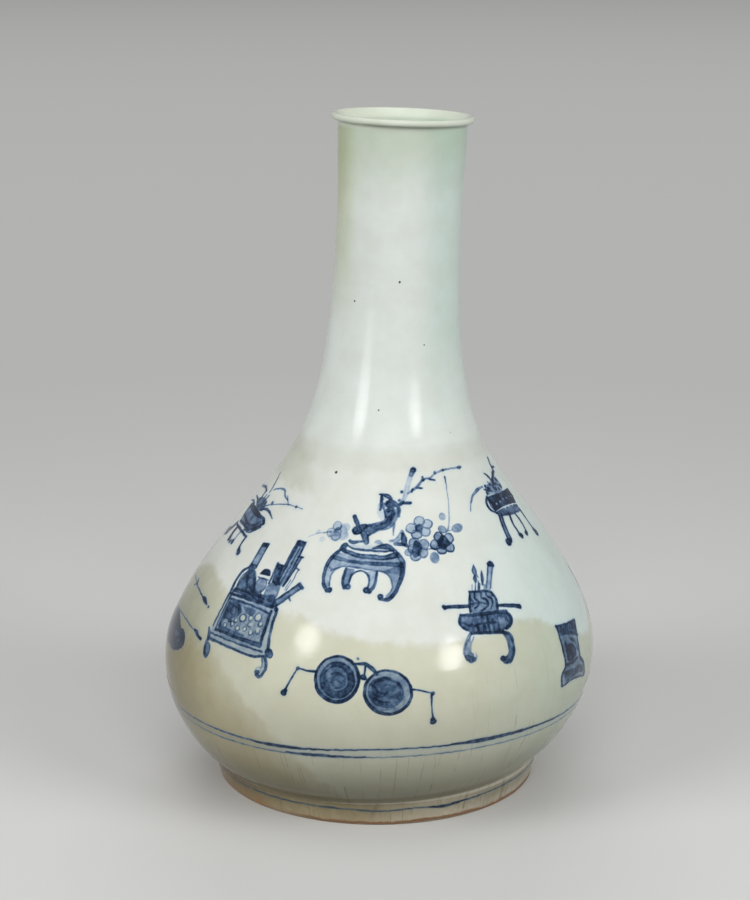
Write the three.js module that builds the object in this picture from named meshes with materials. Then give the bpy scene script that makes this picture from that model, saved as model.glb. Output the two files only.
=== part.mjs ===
// Porcelain bottle: a low, round belly under a long neck with a rolled lip, on a turned foot.
// Millimetres, +Z up. The origin is on the ground, under the middle of the belly.
// The bottle is thrown in sections that are luted together with slip. Each section is its own
// solid, and the film of slip between two sections is a narrow gap.
import * as THREE from 'three';
import { mergeVertices } from 'three/addons/utils/BufferGeometryUtils.js';

// Heights of the bottle and of the seams between its sections
const mouthHeight = 350;
const lipHeight = 5;
const neckSeamHeight = 200;
const bellySeamHeight = 74;
const footHeight = 13.2;
const slipGap = 0.3;

// Foot: a ring with a level rim, wider at the top, which the base closes from inside
const footBottomRadius = 84.6;
const footTopRadius = 87.5;
const footRimWidth = 8;
const footRimBevel = 0.8;
const footWall = 12;

// Base: the disc that closes the bottom
const baseThickness = 6;
const baseBevel = 0.6;

// Heel: the thick inner edge of the lower body, which laps over the base
const heelLap = 9;
const heelEdge = 1.2;
const heelHeight = 9;

// Outline of the body and neck. A handle is how far a curve follows its end direction.
const underbodySlope = THREE.MathUtils.degToRad(49.5);
const underbodyHandle = 30.5;
const lowerBellyHandle = 12.5;
const bellyRadius = 114.4;
const bellyHeight = 68;
const upperBellyHandle = 10.5;
const shoulderRadius = 70;
const shoulderHeight = 150;
const shoulderSlope = THREE.MathUtils.degToRad(38.5);
const shoulderHandle = 67;
const neckRootHandle = 43;
const waistRadius = 32.1;
const waistHeight = 308;
const waistHandleBelow = 105;
const waistHandleAbove = 12;
const neckTopRadius = 33.1;
const neckTopHandle = 8;

// Wall thickness, square to the wall
const footEndWall = 9;
const bellyWall = 6.5;
const shoulderWall = 6;
const waistWall = 5;
const mouthWall = 2.4;

// Lip: a roll turned outward round the mouth
const lipRadius = 36.7;
const lipRollRadius = 1.9;
const lipRollStart = THREE.MathUtils.degToRad(-135);
const lipRollEnd = THREE.MathUtils.degToRad(140);

// Warp from drying and firing: sideways lean of the middle of each ring, and tilt of each ring
const footLean = -1.6;
const shoulderLean = 4.1;
const mouthLean = 11.1;
const footTilt = THREE.MathUtils.degToRad(-1.4);
const mouthTilt = THREE.MathUtils.degToRad(1.8);

// Fineness of the solids
const segmentsRound = 64;
const lowerBodyRows = 9;
const upperBodyRows = 13;
const neckRows = 9;
const heelRows = 3;
const lipRollRows = 9;
const curveSteps = 80;

const lipSeamHeight = mouthHeight - lipHeight;
const baseUnderside = footHeight - slipGap - baseThickness;
const baseRadius = footTopRadius - footWall - slipGap;

const point = (radius, height) => new THREE.Vector2(radius, height);

// Value at a height on a line through points of value and height, sorted by height
function valueAt(line, height) {
  let upper = line.findIndex((p) => p.y >= height);
  if (upper < 0) upper = line.length - 1;
  upper = Math.max(upper, 1);
  const low = line[upper - 1];
  const high = line[upper];
  return THREE.MathUtils.mapLinear(height, low.y, high.y, low.x, high.x);
}

// Outer outline: four cubic curves, from the foot out to the belly, up over the shoulder to
// the neck's waist, and out again to the mouth
function outerOutline() {
  const footEnd = point(footTopRadius, footHeight);
  const belly = point(bellyRadius, bellyHeight);
  const shoulder = point(shoulderRadius, shoulderHeight);
  const waist = point(waistRadius, waistHeight);
  const neckTop = point(neckTopRadius, lipSeamHeight);
  const outward = point(Math.sin(underbodySlope), Math.cos(underbodySlope));
  const inward = point(-Math.sin(shoulderSlope), Math.cos(shoulderSlope));
  const curves = [
    new THREE.CubicBezierCurve(
      footEnd, footEnd.clone().addScaledVector(outward, underbodyHandle),
      point(bellyRadius, bellyHeight - lowerBellyHandle), belly),
    new THREE.CubicBezierCurve(
      belly, point(bellyRadius, bellyHeight + upperBellyHandle),
      shoulder.clone().addScaledVector(inward, -shoulderHandle), shoulder),
    new THREE.CubicBezierCurve(
      shoulder, shoulder.clone().addScaledVector(inward, neckRootHandle),
      point(waistRadius, waistHeight - waistHandleBelow), waist),
    new THREE.CubicBezierCurve(
      waist, point(waistRadius, waistHeight + waistHandleAbove),
      point(neckTopRadius, lipSeamHeight - neckTopHandle), neckTop),
  ];
  return curves.flatMap((curve) => curve.getPoints(curveSteps));
}

const outline = outerOutline();

const wallLine = [
  point(footEndWall, footHeight),
  point(bellyWall, bellyHeight),
  point(shoulderWall, shoulderHeight),
  point(waistWall, waistHeight),
  point(mouthWall, lipSeamHeight),
];

const outerRadius = (height) => valueAt(outline, height);

// Inner radius: the wall's thickness is square to the wall, so a sloping wall is wider across
function innerRadius(height) {
  const step = 0.5;
  const slope = (outerRadius(height + step) - outerRadius(height - step)) / (2 * step);
  return outerRadius(height) - valueAt(wallLine, height) * Math.hypot(1, slope);
}

// Lean of the bottle's middle line, by height
const middleLine = new THREE.SplineCurve([
  point(footLean, 0),
  point(0, bellyHeight),
  point(shoulderLean, shoulderHeight),
  point(mouthLean, mouthHeight),
]).getPoints(curveSteps);

// Tilt of a ring: none at the ground, the foot's tilt at the foot's top, then evenly on to the mouth's
const tiltLine = [
  point(0, 0),
  point(footTilt, footHeight),
  point(mouthTilt, mouthHeight),
];

// Turn a closed outline round the upright axis, and lean and tilt its rings as the firing did
function thrownRing(outlinePoints) {
  const closed = [...outlinePoints, outlinePoints[0].clone()];
  return warped(new THREE.LatheGeometry(closed, segmentsRound));
}

function warped(lathe) {
  lathe.rotateX(Math.PI / 2);
  lathe.deleteAttribute('normal');
  lathe.deleteAttribute('uv');
  const geometry = mergeVertices(lathe, 1e-3);
  const position = geometry.attributes.position;
  for (let i = 0; i < position.count; i += 1) {
    const x = position.getX(i);
    const z = position.getZ(i);
    position.setX(i, x + valueAt(middleLine, z));
    position.setZ(i, z - x * Math.tan(valueAt(tiltLine, z)));
  }
  geometry.computeVertexNormals();
  return geometry;
}

// Heights from one level to another, in equal rows
function levels(from, to, rows) {
  return Array.from({ length: rows + 1 }, (_, i) => THREE.MathUtils.lerp(from, to, i / rows));
}

// Wall between two seams: up the outside, and down the inside
function wallOutline(bottom, top, rows) {
  const heights = levels(bottom, top, rows);
  const outside = heights.map((height) => point(outerRadius(height), height));
  const inside = heights.map((height) => point(innerRadius(height), height));
  return [...outside, ...inside.reverse()];
}

function footRing() {
  const top = footHeight - slipGap;
  const boreRadius = footBottomRadius - footRimWidth;
  const seatRadius = baseRadius + slipGap;
  return thrownRing([
    point(footBottomRadius - footRimBevel, 0),
    point(footBottomRadius, footRimBevel),
    point(footTopRadius, top),
    point(seatRadius, top),
    point(seatRadius, baseUnderside),
    point(boreRadius, footRimBevel),
    point(boreRadius + footRimBevel, 0),
  ]);
}

function baseDisc() {
  return warped(new THREE.LatheGeometry([
    point(0, baseUnderside),
    point(baseRadius - baseBevel, baseUnderside),
    point(baseRadius, baseUnderside + baseBevel),
    point(baseRadius, footHeight - slipGap),
    point(0, footHeight - slipGap),
  ], segmentsRound));
}

// Lower body: the wall from the foot to the belly's seam, with the heel curving in over the base
function lowerBody() {
  const heelTop = footHeight + heelHeight;
  const top = bellySeamHeight - slipGap;
  const heelRadius = baseRadius - heelLap;
  const outside = levels(footHeight, top, lowerBodyRows)
    .map((height) => point(outerRadius(height), height));
  const inside = levels(top, heelTop, lowerBodyRows - 1)
    .map((height) => point(innerRadius(height), height));
  const heel = new THREE.QuadraticBezierCurve(
    point(innerRadius(heelTop), heelTop),
    point(innerRadius(heelTop) - heelLap, footHeight + heelEdge),
    point(heelRadius, footHeight + heelEdge),
  ).getPoints(heelRows).slice(1);
  return thrownRing([...outside, ...inside, ...heel, point(heelRadius, footHeight)]);
}

const upperBody = () => thrownRing(
  wallOutline(bellySeamHeight, neckSeamHeight - slipGap, upperBodyRows));

const neck = () => thrownRing(
  wallOutline(neckSeamHeight, lipSeamHeight - slipGap, neckRows));

// Lip: the neck's wall goes on to the roll, an arc round it, and back down into the mouth
function lip() {
  const rollCentre = point(lipRadius - lipRollRadius, mouthHeight - lipRollRadius);
  const roll = levels(lipRollStart, lipRollEnd, lipRollRows).map((angle) => point(
    rollCentre.x + lipRollRadius * Math.cos(angle),
    rollCentre.y + lipRollRadius * Math.sin(angle)));
  return thrownRing([
    point(neckTopRadius, lipSeamHeight),
    ...roll,
    point(neckTopRadius - mouthWall, lipSeamHeight),
  ]);
}

const glaze = (color) => new THREE.MeshStandardMaterial({ color, roughness: 0.15, metalness: 0 });

const materials = {
  bluishGlaze: glaze(0xd2dcd0),
  ivoryGlaze: glaze(0xcdcdb6),
  oliveGlaze: glaze(0xb4b096),
  baseGlaze: glaze(0xc4c4b0),
};

const bottle = new THREE.Group();

function addSection(name, geometry, material) {
  const mesh = new THREE.Mesh(geometry, material);
  mesh.name = name;
  bottle.add(mesh);
}

addSection('foot_ring', footRing(), materials.oliveGlaze);
addSection('base_disc', baseDisc(), materials.baseGlaze);
addSection('lower_body', lowerBody(), materials.ivoryGlaze);
addSection('upper_body', upperBody(), materials.bluishGlaze);
addSection('neck', neck(), materials.bluishGlaze);
addSection('lip', lip(), materials.bluishGlaze);

export default bottle;
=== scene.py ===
# Looks of a porcelain bottle: blue desk implements painted under a bluish glaze, stained ivory below
import math

import bpy
import numpy as np
from mathutils import Matrix, Vector


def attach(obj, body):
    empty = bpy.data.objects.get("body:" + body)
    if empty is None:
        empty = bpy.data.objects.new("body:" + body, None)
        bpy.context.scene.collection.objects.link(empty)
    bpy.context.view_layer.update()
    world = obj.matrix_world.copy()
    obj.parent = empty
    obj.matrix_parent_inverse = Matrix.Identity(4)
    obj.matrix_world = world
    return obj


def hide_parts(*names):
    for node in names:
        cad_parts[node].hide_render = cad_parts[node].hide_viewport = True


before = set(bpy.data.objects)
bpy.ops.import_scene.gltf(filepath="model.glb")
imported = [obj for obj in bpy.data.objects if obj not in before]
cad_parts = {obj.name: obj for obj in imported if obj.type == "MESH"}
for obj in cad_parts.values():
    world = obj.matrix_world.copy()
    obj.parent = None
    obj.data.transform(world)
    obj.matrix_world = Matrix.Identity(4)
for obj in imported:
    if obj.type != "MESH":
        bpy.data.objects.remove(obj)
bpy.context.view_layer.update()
mm = 0.001

# The form, in millimetres and degrees: the frame's own outline, drawn finer
form = {
    "mouthHeight": 350, "lipHeight": 5, "neckSeamHeight": 200, "bellySeamHeight": 74, "footHeight": 13.2,
    "footBottomRadius": 84.6, "footTopRadius": 87.5, "footRimWidth": 8, "footRimRound": 0.8, "footWall": 12,
    "baseThickness": 6, "seatGap": 0.3, "heelLap": 9, "heelEdge": 1.2, "heelHeight": 9,
    "underbodySlope": 49.5, "underbodyHandle": 30.5, "lowerBellyHandle": 12.5,
    "bellyRadius": 114.4, "bellyHeight": 68, "upperBellyHandle": 10.5,
    "shoulderRadius": 70, "shoulderHeight": 150, "shoulderSlope": 38.5,
    "shoulderHandle": 67, "neckRootHandle": 43,
    "waistRadius": 32.1, "waistHeight": 308, "waistHandleBelow": 105, "waistHandleAbove": 12,
    "neckTopRadius": 33.1, "neckTopHandle": 8,
    "lipRadius": 36.7, "lipRollRadius": 1.9, "lipRollStart": -135, "lipRollEnd": 140,
    "wall": [(9, 13.2), (6.5, 68), (6, 150), (5, 308), (2.4, 345)],     # thickness, height
    "lean": [(-1.6, 0), (0, 68), (4.1, 150), (11.1, 350)],              # sideways lean, height
    "tilt": [(0, 0), (-1.4, 13.2), (1.8, 350)],                         # slope of a ring, height
    "inset": 0.22,          # how far the glaze lies inside the outline
    "footCove": 0.5,        # glaze gathered in the crease over the foot
    "footCoveReach": 2.4,
    "boreEdge": 2.4, "boreDraft": 0.2, "rimDraft": 0.1, "rimCorner": 1.1,       # the foot's contact rim
    "baseDome": 0.5,
    "lipFoot": (0.1, 0.7), "rollStart": (-0.5, -0.5), "rollEnd": (-0.6, -0.72), "mouthFoot": (0.3, 1.6),
    "swell": 0.05, "fingerRings": 0.012, "dimples": 0.012,      # heights of the unevenness of throwing
    "ringsFrom": (40, 100),     # heights between which the finger rings grow
    "evenWithin": 20,           # radius within which the unevenness fades to nothing
}
lipSeam = form["mouthHeight"] - form["lipHeight"]


def curve(start, startHandle, endHandle, end):
    # Cubic curve: (1-t)^3 start + 3t(1-t)^2 startHandle + 3t^2(1-t) endHandle + t^3 end
    t = np.linspace(0, 1, 120)[:, None]
    return (1 - t)**3 * start + 3 * t * (1 - t)**2 * startHandle + 3 * t**2 * (1 - t) * endHandle + t**3 * end


def bend(start, corner, end, steps):
    # Quadratic arc: (1-t)^2 start + 2t(1-t) corner + t^2 end
    t = np.linspace(0, 1, steps + 1)[:, None]
    return (1 - t)**2 * start + 2 * t * (1 - t) * corner + t**2 * end


def throughCurve(t, start, startTangent, end, endTangent):
    # Cubic by its ends and tangents: (2t^3 - 3t^2 + 1) start + (t^3 - 2t^2 + t) startTangent
    # + (3t^2 - 2t^3) end + (t^3 - t^2) endTangent
    return ((2 * t**3 - 3 * t**2 + 1) * start + (t**3 - 2 * t**2 + t) * startTangent
            + (3 * t**2 - 2 * t**3) * end + (t**3 - t**2) * endTangent)


def bottleOutline():
    # Four curves of (radius, height): foot to belly, belly to shoulder, shoulder to waist, waist to mouth
    def point(radius, height):
        return np.array([radius, height], float)
    foot = point(form["footTopRadius"], form["footHeight"])
    belly = point(form["bellyRadius"], form["bellyHeight"])
    shoulder = point(form["shoulderRadius"], form["shoulderHeight"])
    waist = point(form["waistRadius"], form["waistHeight"])
    top = point(form["neckTopRadius"], lipSeam)
    under = math.radians(form["underbodySlope"])
    over = math.radians(form["shoulderSlope"])
    outward = point(math.sin(under), math.cos(under))
    inward = point(-math.sin(over), math.cos(over))
    return np.concatenate([
        curve(foot, foot + form["underbodyHandle"] * outward,
              belly - point(0, form["lowerBellyHandle"]), belly),
        curve(belly, belly + point(0, form["upperBellyHandle"]),
              shoulder - form["shoulderHandle"] * inward, shoulder)[1:],
        curve(shoulder, shoulder + form["neckRootHandle"] * inward,
              waist - point(0, form["waistHandleBelow"]), waist)[1:],
        curve(waist, waist + point(0, form["waistHandleAbove"]),
              top - point(0, form["neckTopHandle"]), top)[1:],
    ])


def middleLine():
    # Curve through the lean's points: cubic pieces, each tangent half the chord over its neighbours
    points = np.array(form["lean"], float)
    ends = np.concatenate([points[:1], points, points[-1:]])
    tangents = (ends[2:] - ends[:-2]) / 2
    t = np.linspace(0, 1, 60)[:, None]
    pieces = zip(points, tangents, points[1:], tangents[1:])
    return np.concatenate([throughCurve(t, *piece) for piece in pieces])


outline = bottleOutline()
middle = middleLine()


def along(line, height):
    # Value at a height on a line of (value, height) points
    line = np.asarray(line, float)
    return np.interp(height, line[:, 1], line[:, 0])


def ringSlope(height):
    # Tangent of the tilt of the ring at a height
    return np.tan(np.radians(along(form["tilt"], height)))


def cove(height):
    # Glaze gathered in the crease over the foot: (1 - distance from the crease over its reach) squared
    away = np.abs(height - form["footHeight"]) / form["footCoveReach"]
    return form["footCove"] * np.clip(1 - away, 0, 1)**2


def glazeRadius(height):
    # The outline less the inset, with the glaze gathered over the foot
    height = np.asarray(height, float)
    return along(outline, height) - form["inset"] + cove(height)


def footWallRadius(height):
    # The foot's glazed wall: a straight taper, with the glaze gathered at its top
    share = (height - form["footRimRound"]) / (form["footHeight"] - form["footRimRound"])
    start, end = form["footBottomRadius"] - form["inset"], form["footTopRadius"] - form["inset"]
    return start + share * (end - start) + cove(height)


def innerRadius(height):
    # The wall is square to the outline, so it is wider across: thickness times hypot(1, slope)
    slope = along(outline, height + 0.5) - along(outline, height - 0.5)
    return along(outline, height) - along(form["wall"], height) * np.hypot(1, slope)


def unevenness(around, height):
    # Swells, finger rings and dimples of throwing, in millimetres: sums of sines of angle and height
    swell = np.sin(2 * around + 0.05 * height) + 0.7 * np.sin(3 * around - 0.083 * height + 2)
    rings = np.sin(0.71 * height + 1.1 * np.sin(around))
    rings = rings + 0.6 * np.sin(1.13 * height + 2 * np.sin(around + 1))
    dimples = np.sin(17 * around + 3 * np.sin(3 * around)) * np.sin(0.21 * height + 5 * np.sin(around))
    low, high = form["ringsFrom"]
    rings = rings * np.clip((height - low) / (high - low), 0, 1)
    return form["swell"] * swell + form["fingerRings"] * rings + form["dimples"] * dimples


def ringPlace(around, height, radius):
    # Ring angle, height and radius to the frame: x = r sin + lean, y = -r cos, z = height - x slope
    radius = radius + unevenness(around, height) * np.clip(radius / form["evenWithin"], 0, 1)
    x = radius * np.sin(around)
    y = -radius * np.cos(around)
    return np.stack([x + along(middle, height), y, height - x * ringSlope(height)], -1) * mm


# Fineness of the thrown sections: millimetres from row to row, and numbers of columns and rows
fineness = {
    "row": 1.5, "insideRow": 3.2, "bodyColumns": 512, "footColumns": 384, "neckColumns": 256,
    "footRows": 22, "baseRings": 26, "heelSteps": 8, "cornerSteps": 5, "rollSteps": 30,
    "lipStep": 20, "mouthStep": 15,     # every how many points of a curve
}
# Bare margins of the bake's map, as shares of it: at its sides, and at the ends of its rows
mapMargin = {"side": 0.004, "ends": 0.02, "motifEnds": 0.03}


def addMesh(name, points, corners, sides, cornerNormals, cornerLayout, values=None):
    # Points, each face's corners and how many it has, with a normal and a place on the map for each corner
    mesh = bpy.data.meshes.new(name)
    mesh.vertices.add(len(points))
    mesh.vertices.foreach_set("co", np.asarray(points, np.float32).ravel())
    mesh.loops.add(len(corners))
    mesh.loops.foreach_set("vertex_index", np.asarray(corners, np.int32))
    mesh.polygons.add(len(sides))
    starts = np.concatenate([[0], np.cumsum(sides)[:-1]])
    mesh.polygons.foreach_set("loop_start", starts.astype(np.int32))
    mesh.update(calc_edges=True)
    layer = mesh.uv_layers.new(name="OFBake")
    layer.uv.foreach_set("vector", np.asarray(cornerLayout, np.float32).ravel())
    if values is not None:
        attribute = mesh.attributes.new("paint", "FLOAT", "POINT")
        attribute.data.foreach_set("value", np.asarray(values, np.float32))
    mesh.validate()
    mesh.shade_smooth()
    mesh.normals_split_custom_set(np.asarray(cornerNormals, np.float32).tolist())
    piece = bpy.data.objects.new(name, mesh)
    bpy.context.scene.collection.objects.link(piece)
    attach(piece, "root")
    return piece


def unit(vectors):
    # Each vector over its length
    return vectors / np.maximum(np.linalg.norm(vectors, axis=-1, keepdims=True), 1e-12)


def throwSection(name, runs, columns, strips, hiddenShare=0.35):
    # A chain of smooth runs of (radius, height) points, turned round the bottle's leaning middle line.
    # Each run ends where the next begins, and the last ends where the first began, or all lie between two
    # points on the axis. The first run is the one that shows, and gets most of the map.
    chain = np.concatenate([run[:-1] for run in runs])
    poles = runs[0][0][0] == 0
    if poles:
        chain = np.concatenate([chain, runs[-1][-1:]])
    count = len(chain)
    own = np.arange(columns)
    beside = np.roll(own, -1)
    grid = ringPlace(own * 2 * math.pi / columns, chain[:, 1:], chain[:, :1])
    points = grid.reshape(-1, 3)
    shares = [1] + [hiddenShare] * (len(runs) - 1)
    lengths = [np.hypot(*np.diff(run, axis=0).T) * share for run, share in zip(runs, shares)]
    total = sum(length.sum() for length in lengths)
    perStrip = -(-columns // strips)
    strip = own // perStrip
    side, ends = mapMargin["side"], mapMargin["ends"]
    left = side + (1 - 2 * side) * (own - strip * perStrip) / perStrip
    right = left + (1 - 2 * side) / perStrip
    faces, normals, layout = [], [], []
    first, done = 0, 0.0
    for run, length in zip(runs, lengths):
        rows = (first + np.arange(len(run))) % count
        part = grid[rows]
        across = np.roll(part, -1, axis=1) - np.roll(part, 1, axis=1)
        upward = np.gradient(part, axis=0, edge_order=2 if len(run) > 2 else 1)
        normal = unit(np.cross(across, upward))
        at = (done + np.concatenate([[0], np.cumsum(length)])) / total * (1 - 2 * ends) + ends
        for i in range(len(run) - 1):
            low, high = rows[i] * columns, rows[i + 1] * columns
            faces.append(np.stack([low + own, low + beside, high + beside, high + own], 1))
            normals.append(np.stack([normal[i], normal[i][beside], normal[i + 1][beside], normal[i + 1]], 1))
            bottom, top = (strip + at[i]) / strips, (strip + at[i + 1]) / strips
            layout.append(np.stack([left, bottom, right, bottom, right, top, left, top], 1).reshape(-1, 4, 2))
        first += len(run) - 1
        done += length.sum()
    faces, normals, layout = np.concatenate(faces), np.concatenate(normals), np.concatenate(layout)
    if not poles:
        return addMesh(name, points, faces.ravel(), np.full(len(faces), 4), normals.reshape(-1, 3),
                       layout.reshape(-1, 2))
    # On the axis a ring is one point, and the faces round it have three sides
    last = (count - 1) * columns
    faces = np.where(faces < columns, 0, faces)
    faces = np.where(faces >= last, last, faces)
    kept = np.ones(faces.shape, bool)
    kept[:columns, 1] = False
    kept[-columns:, 3] = False
    used, corners = np.unique(faces[kept], return_inverse=True)
    # The map of a disc is its two sides as seen, one beside the other
    middles = np.where(np.arange(len(faces)) < len(faces) // 2, 0.25, 0.75)
    seen = points[faces][..., :2] / np.abs(points[:, :2]).max() * (0.5 - ends)
    flat = np.stack([middles[:, None] + seen[..., 0] / 2, 0.5 + seen[..., 1]], -1)
    return addMesh(name, points[used], corners.ravel(), kept.sum(1), normals[kept], flat[kept])


def plainRun(start, end, spacing):
    # Straight run from one (radius, height) point to another
    start, end = np.array(start, float), np.array(end, float)
    steps = max(int(np.hypot(*(end - start)) / spacing + 0.5), 1)
    return start + np.linspace(0, 1, steps + 1)[:, None] * (end - start)


def outside(low, high):
    # The glaze's outline between two heights, in rows of even length
    fine = np.linspace(low, high, 600)
    radii = glazeRadius(fine)
    length = np.concatenate([[0], np.cumsum(np.hypot(np.diff(fine), np.diff(radii)))])
    rows = int(length[-1] / fineness["row"]) + 1
    heights = np.interp(np.linspace(0, length[-1], rows + 1), length, fine)
    return np.stack([glazeRadius(heights), heights], 1)


def inside(high, low):
    # The inner wall between two heights, from the top down
    heights = np.linspace(high, low, int((high - low) / fineness["insideRow"]) + 2)
    return np.stack([innerRadius(heights), heights], 1)


def roundedRun(points, radius):
    # A run through (radius, height) points whose inner corners are rounded by quadratic arcs
    points = [np.array(point, float) for point in points]
    run = [points[0]]
    for before, corner, after in zip(points, points[1:], points[2:]):
        back = corner + (before - corner) * min(radius / np.hypot(*(before - corner)), 0.5)
        on = corner + (after - corner) * min(radius / np.hypot(*(after - corner)), 0.5)
        run.extend(bend(back, corner, on, fineness["cornerSteps"]))
    run.append(points[-1])
    return np.array(run)


def makeFoot():
    # Wall, rounded level rim, and the bore up to the seat of the base
    top = form["footHeight"]
    bottom = form["footBottomRadius"] - form["inset"]
    bore = form["footBottomRadius"] - form["footRimWidth"]
    seat = form["footTopRadius"] - form["footWall"]
    crown = (glazeRadius(top), top)
    heights = np.linspace(form["footRimRound"], top, fineness["footRows"])
    wall = np.stack([footWallRadius(heights), heights], 1)
    under = top - form["seatGap"] - form["baseThickness"]
    rim = roundedRun([(seat, under), (bore, form["boreEdge"]), (bore + form["boreDraft"], 0),
                      (bottom - form["rimDraft"], 0), wall[0]], form["rimCorner"])
    runs = [wall, plainRun(crown, (seat, top), 5), plainRun((seat, top), rim[0], 3), rim]
    return throwSection("footRing", runs, fineness["footColumns"], 4)


def makeBase():
    # Slightly domed disc, with its edge in the foot's seat: the dome falls with the radius squared
    top = form["footHeight"]
    under = top - form["seatGap"] - form["baseThickness"]
    edge = form["footTopRadius"] - form["footWall"]
    radii = np.linspace(0, edge, fineness["baseRings"])
    below = np.stack([radii, under + form["baseDome"] * (1 - (radii / edge)**2)], 1)
    above = np.stack([radii[::-1], np.full(len(radii), top)], 1)
    return throwSection("baseDisc", [below, plainRun(below[-1], (edge, top), 3), above],
                        fineness["footColumns"], 1, 1)


def makeLowerBody():
    # Wall from the foot to the belly's seam, and the thick heel that curves in over the base
    foot, seam = form["footHeight"], form["bellySeamHeight"]
    heelTop = foot + form["heelHeight"]
    heelRadius = form["footTopRadius"] - form["footWall"] - form["seatGap"] - form["heelLap"]
    start = np.array([innerRadius(heelTop), heelTop])
    corner = np.array([start[0] - form["heelLap"], foot + form["heelEdge"]])
    end = np.array([heelRadius, foot + form["heelEdge"]])
    heel = bend(start, corner, end, fineness["heelSteps"])
    wall, inner = outside(foot, seam), inside(seam, heelTop)
    runs = [wall, plainRun(wall[-1], inner[0], 4), np.concatenate([inner, heel[1:]]),
            plainRun(end, (heelRadius, foot), 3), plainRun((heelRadius, foot), wall[0], 7)]
    return throwSection("lowerBody", runs, fineness["bodyColumns"], 3)


def makeWall(name, low, high, columns, strips):
    # Outer wall up, inner wall down, and the two level ends that are luted
    wall, inner = outside(low, high), inside(high, low)
    runs = [wall, plainRun(wall[-1], inner[0], 4), inner, plainRun(inner[-1], wall[0], 4)]
    return throwSection(name, runs, columns, strips)


def makeLip():
    # The neck's wall, a roll turned outward, and the way down into the mouth
    radius = form["lipRollRadius"] - form["inset"]
    centre = np.array([form["lipRadius"], form["mouthHeight"]]) - form["lipRollRadius"]
    angles = np.radians(np.linspace(form["lipRollStart"], form["lipRollEnd"], fineness["rollSteps"]))
    roll = centre + radius * np.stack([np.cos(angles), np.sin(angles)], 1)
    foot = np.array([glazeRadius(lipSeam), lipSeam])
    inner = np.array([innerRadius(lipSeam), lipSeam])
    outer = curve(foot, foot + form["lipFoot"], roll[0] + form["rollStart"], roll[0])
    inward = curve(roll[-1], roll[-1] + form["rollEnd"], inner + form["mouthFoot"], inner)
    whole = np.concatenate([outer[::fineness["lipStep"]][:-1], roll[:-1], inward[::fineness["mouthStep"]],
                            inner[None]])
    return throwSection("lip", [whole, plainRun(inner, foot, 1)], fineness["neckColumns"], 4, 1)


sections = {
    "foot_ring": (makeFoot(), "foot_glaze"),
    "base_disc": (makeBase(), "base_glaze"),
    "lower_body": (makeLowerBody(), "body_glaze"),
    "upper_body": (makeWall("upperBody", form["bellySeamHeight"], form["neckSeamHeight"],
                            fineness["bodyColumns"], 2), "body_glaze"),
    "neck": (makeWall("neck", form["neckSeamHeight"], lipSeam, fineness["neckColumns"], 1), "body_glaze"),
    "lip": (makeLip(), "body_glaze"),
}
for node, (piece, slot) in sections.items():
    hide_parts(node)
print("sections thrown:", {piece.name: len(piece.data.polygons) for piece, slot in sections.values()})


# Brush painting. A motif is drawn flat, in millimetres right and up from its middle, as a sheet of ink.
brush = {
    "step": 0.32,       # one cell of a sheet
    "margin": 2.2,      # bare glaze kept round the paint
    "softness": 0.34,   # how far a stroke's edge fades
    "halo": 1.3,        # how far the blue bleeds into the glaze
    "haloInk": 0.05,
    "pathStep": 0.9,    # length of the pieces that a stroke is drawn in
    "tremor": 0.2,      # how far the hand wavers, and over what length
    "tremorLength": 2.3,
    "poolStart": 0.3,   # how deep inside a stroke its ink begins to thin, and over what depth
    "poolDepth": 0.8,
    "poolShare": 0.3,
    "rimReach": 0.55,   # breadth of the ink gathered at the edge of a wash
    "dotFlat": 1.06,    # a dot is a little wider than high
    "ringSteps": 44,
    "ringWidths": (1, 0.7, 1.2, 1),             # a ring's line round its way, as shares of its width
    "clouds": [(3.4, 0.42), (1.2, 0.32)],       # size and strength of the ink's unevenness
    "cloudMiddle": 0.57,
    "mostInk": 0.985,   # share of the bare glaze that one stroke covers at most
    "leastInk": 0.012,  # density under which a cell counts as bare
    "spotInk": 0.66,    # share of the ink that a light spot takes away, and how sharp its edge is
    "spotEdge": 0.7,
    "searchRounds": 8,  # rounds that the nearest point of the outline is looked for in
    "bareReach": 1.9,   # cells farther than this from any paint are left off the skin
    "lift": 0.17,       # how far the painted skin lies on the glaze
    "sunk": -0.1,       # and its rim under it
}


def smoothPath(points, spacing):
    # Cubic curve through the points: each tangent is the chord over its two neighbours
    points = np.array(points, float)
    if len(points) < 3:
        count = max(2, int(np.hypot(*(points[-1] - points[0])) / spacing) + 2)
        return points[0] + np.linspace(0, 1, count)[:, None] * (points[-1] - points[0])
    chord = np.hypot(*np.diff(points, axis=0).T)
    way = np.concatenate([[0], np.cumsum(np.maximum(chord, 1e-6))])
    tangent = np.gradient(points, way, axis=0)
    at = np.linspace(0, way[-1], int(way[-1] / spacing) + 2)
    k = np.clip(np.searchsorted(way, at, side="right") - 1, 0, len(chord) - 1)
    span = np.diff(way)[k][:, None]
    t = ((at - way[k]) / span[:, 0])[:, None]
    return throughCurve(t, points[k], span * tangent[k], points[k + 1], span * tangent[k + 1])


def toPath(across, up, path, widths):
    # Distance from each cell to the nearest piece of a path, less half the stroke's width there
    start = path[:-1]
    step = path[1:] - start
    length = np.maximum((step**2).sum(1), 1e-9)
    half = np.interp(np.linspace(0, 1, len(path)), np.linspace(0, 1, len(widths)), widths) / 2
    best = np.full(across.shape, 1e9)
    for i in range(len(start)):
        du = across - start[i, 0]
        dv = up - start[i, 1]
        t = np.clip((du * step[i, 0] + dv * step[i, 1]) / length[i], 0, 1)
        gap = np.hypot(du - t * step[i, 0], dv - t * step[i, 1])
        best = np.minimum(best, gap - (half[i] + t * (half[i + 1] - half[i])))
    return best


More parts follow.
